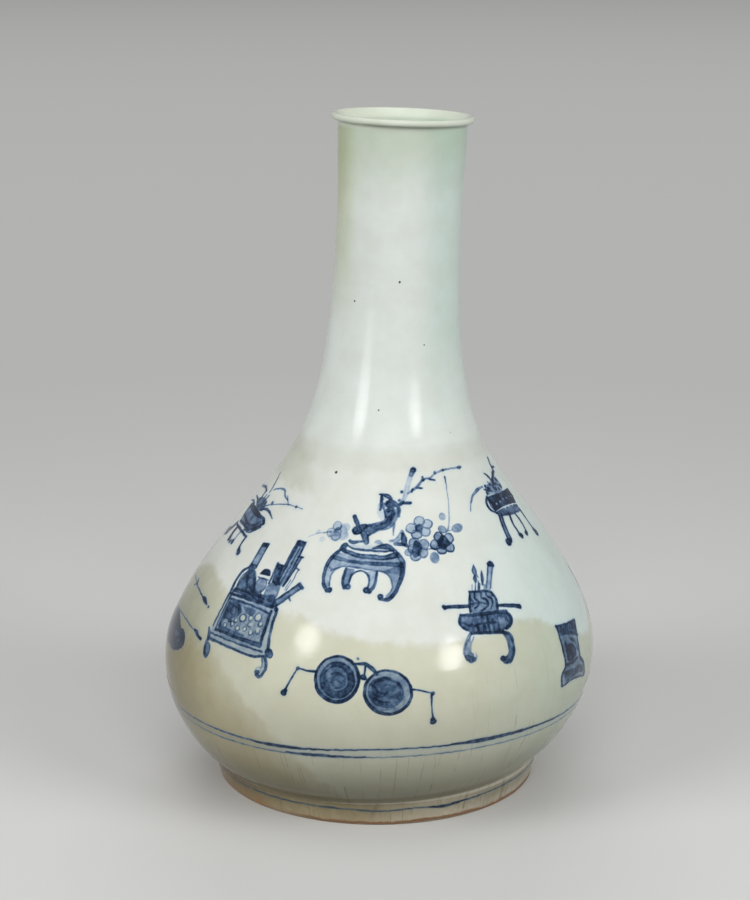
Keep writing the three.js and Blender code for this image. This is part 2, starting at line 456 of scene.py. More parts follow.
def within(across, up, path):
    # A cell is inside where a level ray from it crosses the outline an odd number of times
    odd = np.zeros(across.shape, bool)
    for (u0, v0), (u1, v1) in zip(path, np.roll(path, -1, axis=0)):
        if v0 != v1:
            odd ^= ((up < v0) != (up < v1)) & (across < u0 + (up - v0) * (u1 - u0) / (v1 - v0))
    return odd


def edge(gap):
    # 1 inside the stroke, 0 outside, smooth over its edge
    t = np.clip(0.5 - gap / (2 * brush["softness"]), 0, 1)
    return t * t * (3 - 2 * t)


def halo(gap):
    # Blue that bleeds into the glaze: a bell curve of the distance
    return brush["haloInk"] * np.exp(-(np.maximum(gap, 0) / brush["halo"])**2)


def thinned(gap):
    # Ink gathers along a stroke's edge and thins inside it
    return 1 - brush["poolShare"] * np.clip((-gap - brush["poolStart"]) / brush["poolDepth"], 0, 1)


def touched(gap):
    # Ink of one touch of the brush: its thinned inside or its halo, whichever is stronger
    return np.maximum(edge(gap) * thinned(gap), halo(gap))


def drawLine(across, up, widths, ink, points, straight=False):
    # Line whose width runs through the given widths from its start to its end
    path = np.array(points, float) if straight else smoothPath(points, brush["pathStep"])
    return ink * touched(toPath(across, up, path, widths))


def drawBar(across, up, widths, ink, points):
    # The same with straight pieces
    return drawLine(across, up, widths, ink, points, straight=True)


def drawDot(across, up, radii, ink, points):
    # Round blobs: a radius for each point, or one for all
    total = np.zeros(across.shape)
    for (u, v), radius in zip(points, np.broadcast_to(radii, len(points))):
        gap = np.hypot(across - u, (up - v) * brush["dotFlat"]) - radius
        total = np.maximum(total, ink * touched(gap))
    return total


def drawWash(across, up, rim, ink, points, straight=False):
    # Filled outline: even ink, gathered along its edge by the share rim
    path = np.array(points, float) if straight else smoothPath([*points, points[0]], brush["pathStep"])[:-1]
    gap = toPath(across, up, np.concatenate([path, path[:1]]), [0, 0])
    gap = np.where(within(across, up, path), -gap, gap)
    return ink * edge(gap) * (1 + rim * np.exp(-(gap / brush["rimReach"])**2))


def drawPane(across, up, rim, ink, points):
    # The same with straight sides
    return drawWash(across, up, rim, ink, points, straight=True)


def drawRing(across, up, sizes, ink, points):
    # Ellipse by hand: half width, half height, line width, turn in degrees, and the ink inside it
    wide, high, width, turn, fill = sizes
    total = np.zeros(across.shape)
    a = np.linspace(0, 2 * math.pi, brush["ringSteps"])
    x, y = wide * np.cos(a), high * np.sin(a)
    c, s = math.cos(math.radians(turn)), math.sin(math.radians(turn))
    for u, v in points:
        path = np.stack([u + x * c - y * s, v + x * s + y * c], 1)
        gap = toPath(across, up, path, [width * share for share in brush["ringWidths"]])
        inner = np.where(within(across, up, path[:-1]), -1.0, 1.0) * np.abs(gap + width / 2)
        total = np.maximum(total, np.maximum(ink * edge(gap) * thinned(gap), fill * edge(inner)))
    return total


tools = {
    "line": drawLine, "bar": drawBar, "dot": drawDot, "wash": drawWash, "pane": drawPane, "ring": drawRing,
}


def strokeMaker(tool):
    # A stroke in a motif's list: the tool with its sizes in millimetres, how dark it is, and its points
    def stroke(sizes, ink, *points):
        return tool, sizes, ink, np.reshape(points, (-1, 2))

    return stroke


line, bar, dot, wash, pane, ring = [strokeMaker(tool) for tool in tools]


def mottle(across, up, size, seed):
    # Smooth random field: random values on a coarse grid, blended by smoothstep
    rng = np.random.default_rng(seed)
    x = (across - across.min()) / size + 0.5
    y = (up - up.min()) / size + 0.5
    values = rng.random((int(y.max()) + 3, int(x.max()) + 3))
    i, j = x.astype(int), y.astype(int)
    fx, fy = x - i, y - j
    fx = fx * fx * (3 - 2 * fx)
    fy = fy * fy * (3 - 2 * fy)
    low = values[j, i] * (1 - fx) + values[j, i + 1] * fx
    high = values[j + 1, i] * (1 - fx) + values[j + 1, i + 1] * fx
    return low * (1 - fy) + high * fy


def strokeReach(tool, sizes):
    # How far a stroke goes past its points: a ring or dot by its radius, a line by half its width
    if tool in ("wash", "pane"):
        return 0
    if tool == "ring":
        return max(sizes[:2])
    return np.max(sizes) * (1 if tool == "dot" else 0.5)


def inkDensity(across, up, motif, seed):
    # Each stroke covers part of what the ones before left bare: density = 1 - product of (1 - stroke)^load.
    # A light takes most of it off a round spot.
    length = brush["tremorLength"]
    u = across + brush["tremor"] * (2 * mottle(across, up, length, seed + 2) - 1)
    v = up + brush["tremor"] * (2 * mottle(across, up, length, seed + 3) - 1)
    low = np.array([across.min(), up.min()])
    step = across[0, 1] - across[0, 0], up[1, 0] - up[0, 0]
    bare = np.ones(across.shape)
    for tool, sizes, ink, points in motif["strokes"]:
        reach = strokeReach(tool, sizes) + brush["margin"] + brush["halo"] + brush["poolStart"]
        p = np.array(points, float)
        i0, j0 = np.maximum(((p.min(0) - reach - low) / step).astype(int), 0)
        i1, j1 = np.maximum(((p.max(0) + reach - low) / step).astype(int) + 1, 1)
        window = np.s_[j0:j1, i0:i1]
        stroke = tools[tool](u[window], v[window], sizes, ink, points)
        bare[window] *= 1 - np.clip(stroke, 0, brush["mostInk"])
    density = 1 - bare**motif.get("load", 1.0)      # load: how full the brush is
    for radius, lu, lv in motif.get("lights", []):
        gap = np.hypot(u - lu, v - lv) - radius
        density *= 1 - brush["spotInk"] * edge(gap * brush["spotEdge"])
    cloud = 1.0
    for i, (size, strength) in enumerate(brush["clouds"]):
        cloud = cloud + strength * (mottle(across, up, size, seed + 4 + i) - brush["cloudMiddle"])
    return np.clip(density * cloud, 0, 1)


def motifSheet(motif):
    # Grid that holds all strokes with a margin round them
    corners = []
    for tool, sizes, ink, points in motif["strokes"]:
        p, reach = np.array(points, float), strokeReach(tool, sizes)
        corners += [p.min(0) - reach, p.max(0) + reach]
    low = np.min(corners, 0) - brush["margin"]
    high = np.max(corners, 0) + brush["margin"]
    return np.meshgrid(np.arange(low[0], high[0], brush["step"]), np.arange(low[1], high[1], brush["step"]))


def flatToGlaze(motif, across, up):
    # A flat sheet laid on the wall: plane across the wall's slope, then the nearest point of the outline
    turn, height = math.radians(motif["around"]), float(motif["height"])

    def wall(around, at):
        return ringPlace(np.float64(around), np.float64(at), along(outline, at)) / mm

    centre = wall(turn, height)
    right = wall(turn + 0.01, height) - wall(turn - 0.01, height)
    right[2] = 0
    right = unit(right)
    upward = unit(wall(turn, height + 0.5) - wall(turn, height - 0.5))
    upward = unit(upward - right * (upward @ right))
    point = centre + across[..., None] * right + up[..., None] * upward
    level = np.clip(point[..., 2], form["footHeight"], lipSeam)
    for _ in range(brush["searchRounds"]):
        x = point[..., 0] - along(middle, level)
        reach = np.hypot(x, point[..., 1])
        slope = along(outline, level + 0.5) - along(outline, level - 0.5)
        rise = point[..., 2] + x * ringSlope(level) - level
        level = level + (rise + (reach - along(outline, level)) * slope) / (1 + slope**2)
    return np.arctan2(x, -point[..., 1]), level


def spreadOut(mask, cells):
    # Grows a mask by a number of cells each way
    grown = mask.copy()
    for _ in range(cells):
        grown[1:] |= grown[:-1].copy()
        grown[:-1] |= grown[1:].copy()
        grown[:, 1:] |= grown[:, :-1].copy()
        grown[:, :-1] |= grown[:, 1:].copy()
    return grown


def paintSkin(name, around, level, radii, density, kept, folds=1, closed=False):
    # A thin skin of the glaze that carries the ink, a little proud, with its rim sunk in the glaze.
    # closed joins the last column to the first. kept says which cells are there, by their lower left corner.
    rows, columns = density.shape
    beside = np.roll(np.arange(columns), -1)
    before = np.roll(kept, 1, axis=1)
    full = np.zeros((rows, columns), bool)
    full[1:-1] = kept[1:-1] & kept[:-2] & before[1:-1] & before[:-2]
    lift = np.where(full, brush["lift"], brush["sunk"])
    flat = ringPlace(around, level, radii + brush["lift"])
    across = np.roll(flat, -1, axis=1) - np.roll(flat, 1, axis=1) if closed else np.gradient(flat, axis=1)
    normal = unit(np.cross(across, np.gradient(flat, axis=0)))
    points = ringPlace(around, level, radii + lift)
    j, i = np.nonzero(kept[:-1])
    low, high = j * columns, (j + 1) * columns
    faces = np.stack([low + i, low + beside[i], high + beside[i], high + i], 1)
    used, corners = np.unique(faces, return_inverse=True)
    perFold = -(-columns // folds)
    fold = i // perFold
    left, right = (i - fold * perFold) / perFold, (i - fold * perFold + 1) / perFold
    side, ends = mapMargin["side"], mapMargin["motifEnds"]
    bottom, top = [((j + k) / rows * (1 - 2 * ends) + ends + fold) / folds for k in (0, 1)]
    layout = side + (1 - 2 * side) * np.stack([left, bottom, right, bottom, right, top, left, top], 1)
    normals = normal.reshape(-1, 3)[faces.ravel()]
    return addMesh(name, points.reshape(-1, 3)[used], corners.ravel(), np.full(len(faces), 4), normals,
                   layout, density.ravel()[used])


def paintMotif(name, motif, seed):
    # Its sheet of ink laid on the glaze, without the cells that are far from any ink
    across, up = motifSheet(motif)
    density = inkDensity(across, up, motif, seed)
    around, level = flatToGlaze(motif, across, up)
    near = spreadOut(density > brush["leastInk"], round(brush["bareReach"] / brush["step"] / 2))
    fill = near[:-1, :-1] | near[1:, :-1] | near[:-1, 1:] | near[1:, 1:]
    kept = np.zeros(density.shape, bool)
    kept[:-1, :-1] = fill
    kept[:1] = kept[-2:] = False
    kept[:, :1] = kept[:, -2:] = False
    piece = paintSkin(name, around, level, glazeRadius(level), density, kept)
    return piece


# The motifs, by name: around in degrees, height in millimetres, and load as how full the brush is.
# A stroke has its widths or sizes, its ink, and its points in millimetres, as right, up, right, up and so on.
# Lights are bare spots: radius, right, up.
motifs = {}
motifs["plumOnTable"] = {"around": -3, "height": 146, "lights": [
    (0.8, 1.5, 21.8), (0.6, 2.2, 18.4), (0.5, 7.2, 18.4),
], "strokes": [
    # washes of the table's slab, apron and legs
    wash(0, 0.16, -16.6, -1, -6, -1.6, 4, -1.2, 7.6, -3.4, 4, -5.2, -6, -4.8, -14, -3.4),
    wash(0.1, 0.34, -21, -5, -17, -5.6, -10, -8, 0, -9, 9, -8, 11.6, -10, 12.4, -14, 8, -16.4, 0, -15,
        -12, -13, -19, -12.4, -24, -14, -26.4, -12, -24, -8),
    wash(0.1, 0.32, -26.6, -11.5, -23, -14.4, -24.7, -18, -25, -22.6, -26.8, -23.4, -28, -18),
    wash(0.1, 0.46, -17, -13.6, -12, -14.4, -14.3, -18, -14.8, -22.5, -17.6, -23, -18, -18),
    wash(0.1, 0.3, -6, -15.6, -0.8, -15.3, -1.2, -19.5, -3, -24.6, -5.2, -24.6, -4.6, -20),
    wash(0.1, 0.42, 2, -15.4, 12.4, -12, 12, -17.6, 9.4, -25, 6.4, -29.6, 2.6, -29.8, 5.4, -27, 6.8, -23,
        6, -19),
    # slab: dark corners, and its bands one under the other
    wash(0.1, 0.84, -20.8, -3.2, -19.4, -0.9, -16.5, 0, -15.8, -1.4, -17, -3, -15.6, -5.6, -18.4, -5),
    line((0.7, 1.1, 1.3, 1.1, 0.8), 0.76, -16.2, -1.2, -14, -3, -7, -4.2, 0, -4.9, 6, -4.6),
    line((0.8, 2.2, 3.2, 2.4), 0.84, -3.4, -3.4, 0.6, -2.4, 4, -2.3, 6.4, -3.6),
    line((2.2, 2.2, 2.6, 2.8, 3.2), 0.84, -17, -4.4, -12, -6.6, -4, -7.8, 4, -8, 8, -6.4),
    line((2.4, 1.8), 0.86, 7.6, -4.6, 9.6, -7.4),
    line((2.6, 1.6, 1.9, 2.2, 2.6), 0.64, -23, -7.4, -15, -9.9, -5, -11.2, 4, -11.6, 11, -11.6),
    line((0.9, 0.6, 1, 0.8, 0.8), 0.6, -24.4, -14.4, -19, -12.7, -12, -13.2, -5, -14.6, 2, -15.4),
    # left leg
    line((1.6, 2.4, 2, 1.7, 2, 1.8), 0.86, -20.4, -4, -24, -6.8, -26.9, -11, -28.4, -16, -28.2, -21.4,
        -26.4, -25),
    line((0.8, 0.9, 0.7), 0.56, -20, -13, -23, -14.8, -24.8, -18.4, -25, -22.6),
    dot((1.5, 1.1), 0.94, -24.9, -24.6, -26.2, -25),
    # middle legs and the arch between them
    line((1.2, 1.6, 1.5, 1.5), 0.8, -16.4, -13.6, -17.7, -17.6, -18, -21.6, -16.8, -24),
    dot((1.7, 1.1), 0.94, -15.4, -23.4, -17, -23.8),
    line((1.1, 1.2, 0.8, 1.1, 1), 0.78, -14.8, -21, -13.4, -17, -9.6, -15.2, -6, -16.4, -4.7, -19.6,
        -5, -23.6),
    line((1, 1.4, 1.9), 0.86, -0.9, -15.3, -1.2, -19, -2.4, -23.4, -4.2, -25.8),
    dot((1.7, 1.2), 0.93, -5.8, -25.3, -4.4, -26),
    # right leg
    line((0.7, 0.9, 0.7), 0.5, 1, -15.5, 4.4, -17, 6.5, -20.4, 6.7, -24.4, 4, -28),
    line((2.4, 3, 2.4, 2, 2.2, 1.6), 0.8, 9.2, -6, 11.6, -10.6, 11.8, -15, 10.4, -21, 8.2, -26.6,
        4.6, -30.1, 1, -29.6),
    dot(1.4, 0.9, 1.2, -28.3),
    # trunk lying over the table: pale side, dark rim, mottled bark and its elbow
    wash(0.2, 0.5, -7.5, 9.3, -2, 10.6, 1.8, 12, 2, 15, 0.6, 18, 0.9, 21, 4, 22.6, 7.6, 21.2, 9.4, 17.6,
        8.6, 13.4, 6.8, 10, 5.2, 7.6, 2, 6.4, -1.5, 6, -4.4, 4.4, -6.5, 5),
    line((3.2, 3.4), 0.42, -7, 6.8, -3, 7.6), line((2, 2.6, 2.2), 0.16, -0.8, 20, -0.6, 16, 1, 12.4),
    wash(0, 0.2, -0.6, 24.6, 1.6, 23.8, 2.4, 20, 1, 17.4, -1.2, 17, -0.8, 21),
    line((1, 1.8, 1.5, 0.8), 0.84, -0.1, 25.2, 0.1, 22.4, 0, 19.6, -0.6, 17),
    line((0.8, 1.6, 2.4, 1.6), 0.9, -1, 25.6, 1.2, 25.2, 3.4, 24.4, 4.8, 23.2),
    line((1.4, 2.2, 2.4, 2, 1.6), 0.8, 2.2, 20.6, 4.2, 22, 7, 20.9, 9, 17.8, 8.8, 14.4),
    dot((1.9, 1.2), 0.86, 4.2, 20, 3.6, 17), line((1.2, 2, 1.4), 0.7, 5.6, 18.6, 6, 15, 5, 12),
    line((1, 1.2), 0.6, 1.6, 16.6, 2.4, 13.4),
    line((2, 3.2, 3.4, 2.4), 0.84, 4.4, 13.4, 3.6, 10.4, 1.2, 8.8, -2.4, 7.6),
    line((1.4, 1, 0.6), 0.5, 6.6, 10, 6.5, 7, 6.6, 4),
    line((1.2, 1.6, 1.2), 0.6, -3, 9.6, -6, 8.6, -8, 8),
    line((1.4, 1.8, 1.4), 0.74, -1, 6.6, -4, 5, -6, 3.6),
    # its knot and stump, roots and low branch
    dot((2.7, 2, 1.7, 1.6), 0.96, -11.6, 6.6, -9, 8, -12.8, 6.6, -8, 8.4),
    line((2.2, 2.6, 2), 0.93, -13.4, 14, -12.4, 11.5, -11.2, 9),
    line((3.2, 3.4, 3), 0.82, -8.4, 5, -7.4, 2.6, -6.8, 0),
    line((1.4, 2, 1.4, 1.2), 0.84, -15.4, 1, -13.6, 0, -11, 0.3, -8, 0.4),
    wash(0.3, 0.3, -3.2, -0.6, -2, 1, 0.4, 0.8, 1.6, -0.8),
    line((1.2, 2.2, 3.2, 2), 0.42, 5, 0.8, 8, 1.2, 10, 3.2, 11, 6.2),
    line((1.8, 3.2, 3, 1.6), 0.84, 11.4, 5, 12, 2, 12.3, 0, 14, -1.6),
    line((1.6, 2.2, 1.2), 0.7, 7.6, -0.8, 10.6, -0.6, 13, -1),
    # long shoot with a bud at its tip, and the budded twig
    line((1.6, 2.6, 2.9, 2.6), 0.3, 10, 20.5, 12, 26, 13.2, 32, 15, 39),
    line((2.4, 3.2), 0.6, 14.4, 36.5, 15.4, 39.4), dot(1.55, 0.8, 15.3, 39.2),
    line((0.9, 1.6, 1.2, 0.9, 1.3, 0.8, 1.1, 0.6), 0.52, 13.2, 26.6, 15.6, 28.8, 18, 31, 20.8, 34.8,
        24.5, 36, 28, 39, 33, 41.4, 39, 43.6, 44.6, 45.4, 48, 46.6),
    line((1.8, 1.2), 0.88, 9.4, 20.6, 11, 22), line((1.3, 1.6), 0.86, 11, 21.3, 14, 21.7),
    dot((0.9, 0.8, 1, 0.7, 0.85, 0.8, 0.8), 0.84, 9.9, 27.2, 14.6, 21.8, 20.8, 34.8, 20.6, 36, 27.6, 39.4,
        33, 41.4, 9, 22.6),
    line((1.3, 0.8), 0.82, 17.6, 30.2, 20.6, 30), line((1.2, 0.8), 0.8, 24.6, 35.4, 28, 35.3),
    line((0.9, 0.6), 0.7, 15, 27.6, 15.6, 29.6),
    line((1, 1.9, 0.9), 0.82, 44.4, 45.4, 46.4, 46.1, 48.4, 46.8),
    # thin hanging twig with its blossoms
    line((1.3, 0.8), 0.6, 34.4, 38.2, 35, 35.4),
    line((1, 0.6, 0.55, 0.8, 1), 0.5, 34.4, 38.4, 35.6, 33, 36.6, 26, 37, 18, 36.4, 12, 35, 8.5),
    ring((1.9, 1.9, 0.5, 0, 0.4), 0.5, 32.5, 17), ring((3.8, 2.1, 0.5, 28, 0.42), 0.5, 42, 12.6),
    ring((2.4, 2.9, 0.5, 0, 0.46), 0.5, 28.5, -6), ring((1.9, 1.7, 0.6, 0, 0.3), 0.5, 14.6, -4.8),
    line((0.5, 0.9), 0.4, 38.4, 10.6, 35.5, 9.6),
    # blossoms: petals, then the dark hearts
    ring((2.8, 2.4, 0.75, 20, 0.3), 0.66, 19.6, 12.6, 24, 11.6, 22.8, 7.3, 18.4, 5.4, 15.6, 8.2),
    ring((2.6, 2.6, 0.75, 0, 0.4), 0.66, 17.4, 0.6, 22.3, 0.3, 22, -4, 18.2, -6.3, 17, -2.8),
    ring((2.7, 2.5, 0.9, 10, 0.42), 0.86, 30.4, 5.4, 36.6, 5.8, 37, 0.9, 32.2, -0.9, 28.6, 1),
    ring((2.3, 1.7, 0.8, 0, 0.45), 0.7, 32.6, 9.9),
    ring((2.4, 2.2, 0.7, 0, 0.24), 0.52, -22.4, 9.6, -25.6, 6.4, -23, 4.2),
    ring((2.5, 2.4, 0.4, 0, 0.2), 0.3, -18.8, 4.2, -18.2, 8.2),
    wash(0.2, 0.62, 17.2, 9.4, 19.8, 11.4, 21.6, 9.4, 20.6, 6.4, 18.2, 6.8),
    wash(0.2, 0.76, 16.4, -2, 18, 2, 20.6, 0.6, 21, -4, 18, -7.4, 16, -4.6),
    wash(0.2, 0.9, 29.4, 3, 31, 5, 32.4, 7.2, 35, 6, 37.4, 3, 35.4, 0.8, 33.4, -1, 30.6, 0.2),
    line((0.5, 0.7, 0.6), 0.66, 23.6, -2.4, 27, -1.4, 31, -0.8),
    wash(0.2, 0.34, -24.6, 7, -22, 9, -19.8, 7, -20.6, 4.4, -24, 4.6),
    line((0.6, 1), 0.5, -30.4, 6.8, -26, 6.6),
    wash(0.1, 0.13, -19, 1.5, -24, 1.2, -27, 3.5, -18, 9.5, -16.4, 5),
    line((0.5, 0.6, 0.8, 0.6), 0.32, -39.6, 5.6, -37.4, 6.2, -34.4, 6.6, -29.4, 6.8),
    dot((1.3, 1.7), 0.18, -33.6, 7.6, -30.6, 3.2),
]}

motifs["scrollChest"] = {"around": -43, "height": 112, "load": 1.06, "lights": [
    (1.5, -2.5, -6.6), (1.9, 7, -3.9), (1, 2.8, -5.6), (0.8, -8.2, -11), (1, -3.4, -12.2),
    (0.8, 1.4, -11.6), (1.2, 6, -12), (1.1, 9.8, -10), (0.9, 4.4, -8.4), (0.6, -13, -12.6),
    (0.7, -6.4, -8.4), (0.9, 10, -6.6),
], "strokes": [
    # front panel with its frames
    pane(0, 0.25, -20.5, 7, -10, 4, 14.5, 3, 17.5, 2.5, 17.2, -8, 19.5, -17.5, 22, -20, 18, -22.5,
        -22.5, -22.4, -22.6, -14, -21, -4),
    line((1.6, 1, 1.4), 0.72, -19, 9, -20.6, -2, -22.3, -14.5),
    line((1.4, 0.9, 1.2), 0.66, -17.4, 6, -18.6, -4, -19.6, -16.6),
    line((1.2, 1.8, 1.9, 1.6), 0.86, -19, 3.8, -14, 3.6, -3, 3.5, 13, 2.9),
    line((1.5, 1, 1.2), 0.8, -18, 1, -4, 0.9, 12.8, -0.6),
    line((1.6, 1.7, 1.8), 0.84, 16.2, 2.8, 17, -5.5, 18.3, -12, 20.3, -18.6),
    line((1.8, 1.9, 1.6), 0.86, 13.2, 0.6, 13.8, -8, 14.4, -16.6),
    line((1.5, 1.7, 2.6), 0.84, -18.8, -16.2, -2, -16.8, 14.4, -17),
    wash(0.3, 0.16, -17, 0, 12, -0.8, 13, -15.6, -17.4, -15.2),
    wash(0, 0.5, -17.4, 0, -8, -0.4, -5, -4, -9, -8, -14, -9, -17.6, -14.6),
    wash(0, 0.4, -5, -1, 4, -1.6, 3, -4, -2, -3.6), line((2.2, 1.4), 0.5, -17, -14, -8, -14.8, 2, -15),
    line((1.3, 1), 0.72, -16, -1, -9.4, -2.4), line((1.4, 1), 0.7, -9, -1, -6.6, -5.4),
    line((1, 1.2), 0.7, -16.6, -5, -10, -6.6), line((1, 0.8), 0.66, -17, -9, -11, -9.4),
    # chest feet, plinth lines and corners
    line((0.9, 0.7, 1), 0.74, -22.6, -18.6, -4, -19.6, 17, -19.8),
    line((1.6, 1.2, 1.5), 0.8, -23, -21.4, -2, -22.8, 16, -22.6, 20, -21),
    line((1.6, 2.6, 2), 0.84, -25.3, -16.4, -23.8, -18.4, -22.6, -22),
    wash(0.4, 0.7, 19.4, -16.8, 22.4, -17.4, 24, -19.4, 23.4, -21.6, 20, -21.2, 18.6, -19),
    line((2.4, 2, 1.8, 1.4), 0.84, -22.6, -22, -23.6, -25, -22.8, -29, -20.4, -31),
    ring((2.2, 3.8, 1.2, 8, 0.62), 0.8, -21, -27.8),
    line((1.9, 1.6, 1.7, 2), 0.84, 19.8, -22, 22, -25, 21.9, -29.6, 20, -32.6, 18, -31.8),
    line((0.9, 0.7), 0.55, 18.4, -23, 19.6, -26.5),
    line((2.6, 2.4, 2), 0.4, 19.4, -22.6, 20.6, -27, 18.6, -31), dot(1.5, 0.6, 18, -30.6),
    line((1, 0.8), 0.3, 19.4, -27.4, 17, -28.4, 16.6, -30.6),
    # what stands behind the panel: dark heap, ball, hooked stem
    wash(0.1, 0.66, -17, 5, -15.4, 13, -12, 19, -8.4, 18.6, -4.8, 14.2, -4, 9.6, 4, 7.6, 12, 8.4, 13, 4,
        0, 4),
    wash(0.1, 0.5, 4.2, 7, 5, 14, 11.6, 15.4, 13, 10, 12, 5.5),
    line((1.4, 1.9, 2, 1.6), 0.84, -13.6, 19.2, -17.4, 16.4, -19, 12, -19.4, 6),
    line((0.7, 0.9, 0.8), 0.62, -13, 17.2, -15.8, 14.4, -16.6, 8),
    line((2.2, 1.6, 1), 0.84, -12, 14.8, -9.4, 10, -8, 6.6),
    line((1.2, 1.8, 1), 0.86, -8.6, 17.6, -5, 12.6, -3, 8.4),
    ring((3.7, 3.8, 0.9, 0, 0.4), 0.66, -0.2, 12),
    wash(0.3, 0.84, -4.2, 17.4, -2.6, 19.8, 0.2, 20.8, 2.6, 19.4, 3.2, 18, -0.6, 17.6),
    line((0.8, 0.6), 0.62, -4.2, 15.6, 3.4, 15.4), line((1.6, 1.2, 1), 0.84, -6, 8.8, 0, 6.4, 6.4, 5.6),
    line((0.9, 0.7), 0.6, 1.2, 9.4, 4, 5.6), line((1.4, 1, 1.2), 0.8, -17, 6.6, -8, 6.6, 0, 5),
    # upright rolls with dark mouths
    pane(0.4, 0.42, -13.4, 20.6, -12.2, 33.6, -7, 33.6, -8, 20.6),
    bar((1.3, 1.1), 0.72, -13.4, 20, -12, 33), bar((1.1, 0.9), 0.7, -8.6, 20, -7.4, 33),
    bar((2.6, 2.8), 0.9, -11.2, 32.6, -8.4, 32.7), bar((2, 2.2), 0.82, -12.8, 20.4, -9.2, 20),
    bar((3.4, 2.6, 3.4), 0.84, -12.6, 19.6, -11, 17.4),
    pane(0.2, 0.4, 9.7, 14.6, 10.4, 39.6, 15.2, 39.6, 15.2, 30, 12.8, 14.6),
    pane(0.1, 0.7, 6.2, 15, 8.6, 25, 9.6, 39.4, 12, 39.6, 11, 25, 9.8, 14.6),
    bar((1.1, 1), 0.76, 15.2, 39.6, 15, 27, 13.6, 14.8),
    bar((0.8, 0.7), 0.6, 13.2, 36, 12.6, 25, 11.4, 15), bar((3.2, 3.4), 0.9, 11.2, 38.4, 13.8, 38.4),
    pane(0.1, 0.8, 4.2, 25.2, 8.6, 25.2, 9.6, 16, 6, 15), bar((1.5, 1.2), 0.84, 4.6, 25, 4.6, 14),
    dot((2.2, 1.8), 0.82, 8, 17, 9.4, 15.6), bar((1.1, 1.3, 0.9), 0.86, 14.4, 31.6, 17.6, 31.9),
    bar((1.4, 1.1, 0.9), 0.82, 16.6, 31.6, 16.2, 26, 15, 20, 14, 15),
    bar((0.7, 0.5), 0.6, 18.3, 25, 17.7, 19, 16.6, 13), bar((0.6, 0.5), 0.55, 16.4, 19, 15.6, 13.4),
    bar((0.8, 0.9), 0.7, 16.8, 25.4, 18.6, 25),
    # leaning roll on the right
    pane(0.5, 0.5, 11.8, 5.8, 22, 18.4, 25.2, 17.2, 18, 8.8, 14.6, 3.8),
    bar((1.3, 1), 0.78, 12.6, 6, 22.4, 18.6), bar((1.1, 0.9), 0.74, 15, 4.2, 25, 17),
    bar((2, 2.2), 0.9, 22.6, 18.4, 25, 17), line((1.4, 0.7), 0.84, 19.6, 10.4, 21.4, 8.9),
    dot((1.6, 1.3), 0.86, 13.4, 4.6, 15.4, 2.6),
    # bright rounds of the panel's carving
    ring((2.1, 1.8, 0.8, 0, 0), 0.7, -2.5, -6.6, 6.9, -4),
    ring((1.3, 1.2, 0.6, 0, 0), 0.55, 2.6, -5.4, -8.2, -11, -3.4, -12.4, 1.4, -11.4, 6, -12.4, 10, -11,
        -13, -12.6, 9.8, -7, 3.4, -8.6, -6.6, -8.8, -11, -9.4),
    line((0.5, 0.6), 0.5, -14, -4, -11, -8, -8, -13), line((0.5, 0.6), 0.45, -10, -3, -8, -8, -5, -13),
    line((0.5, 0.6), 0.4, -1, -9, 4, -10, 9, -13),
]}

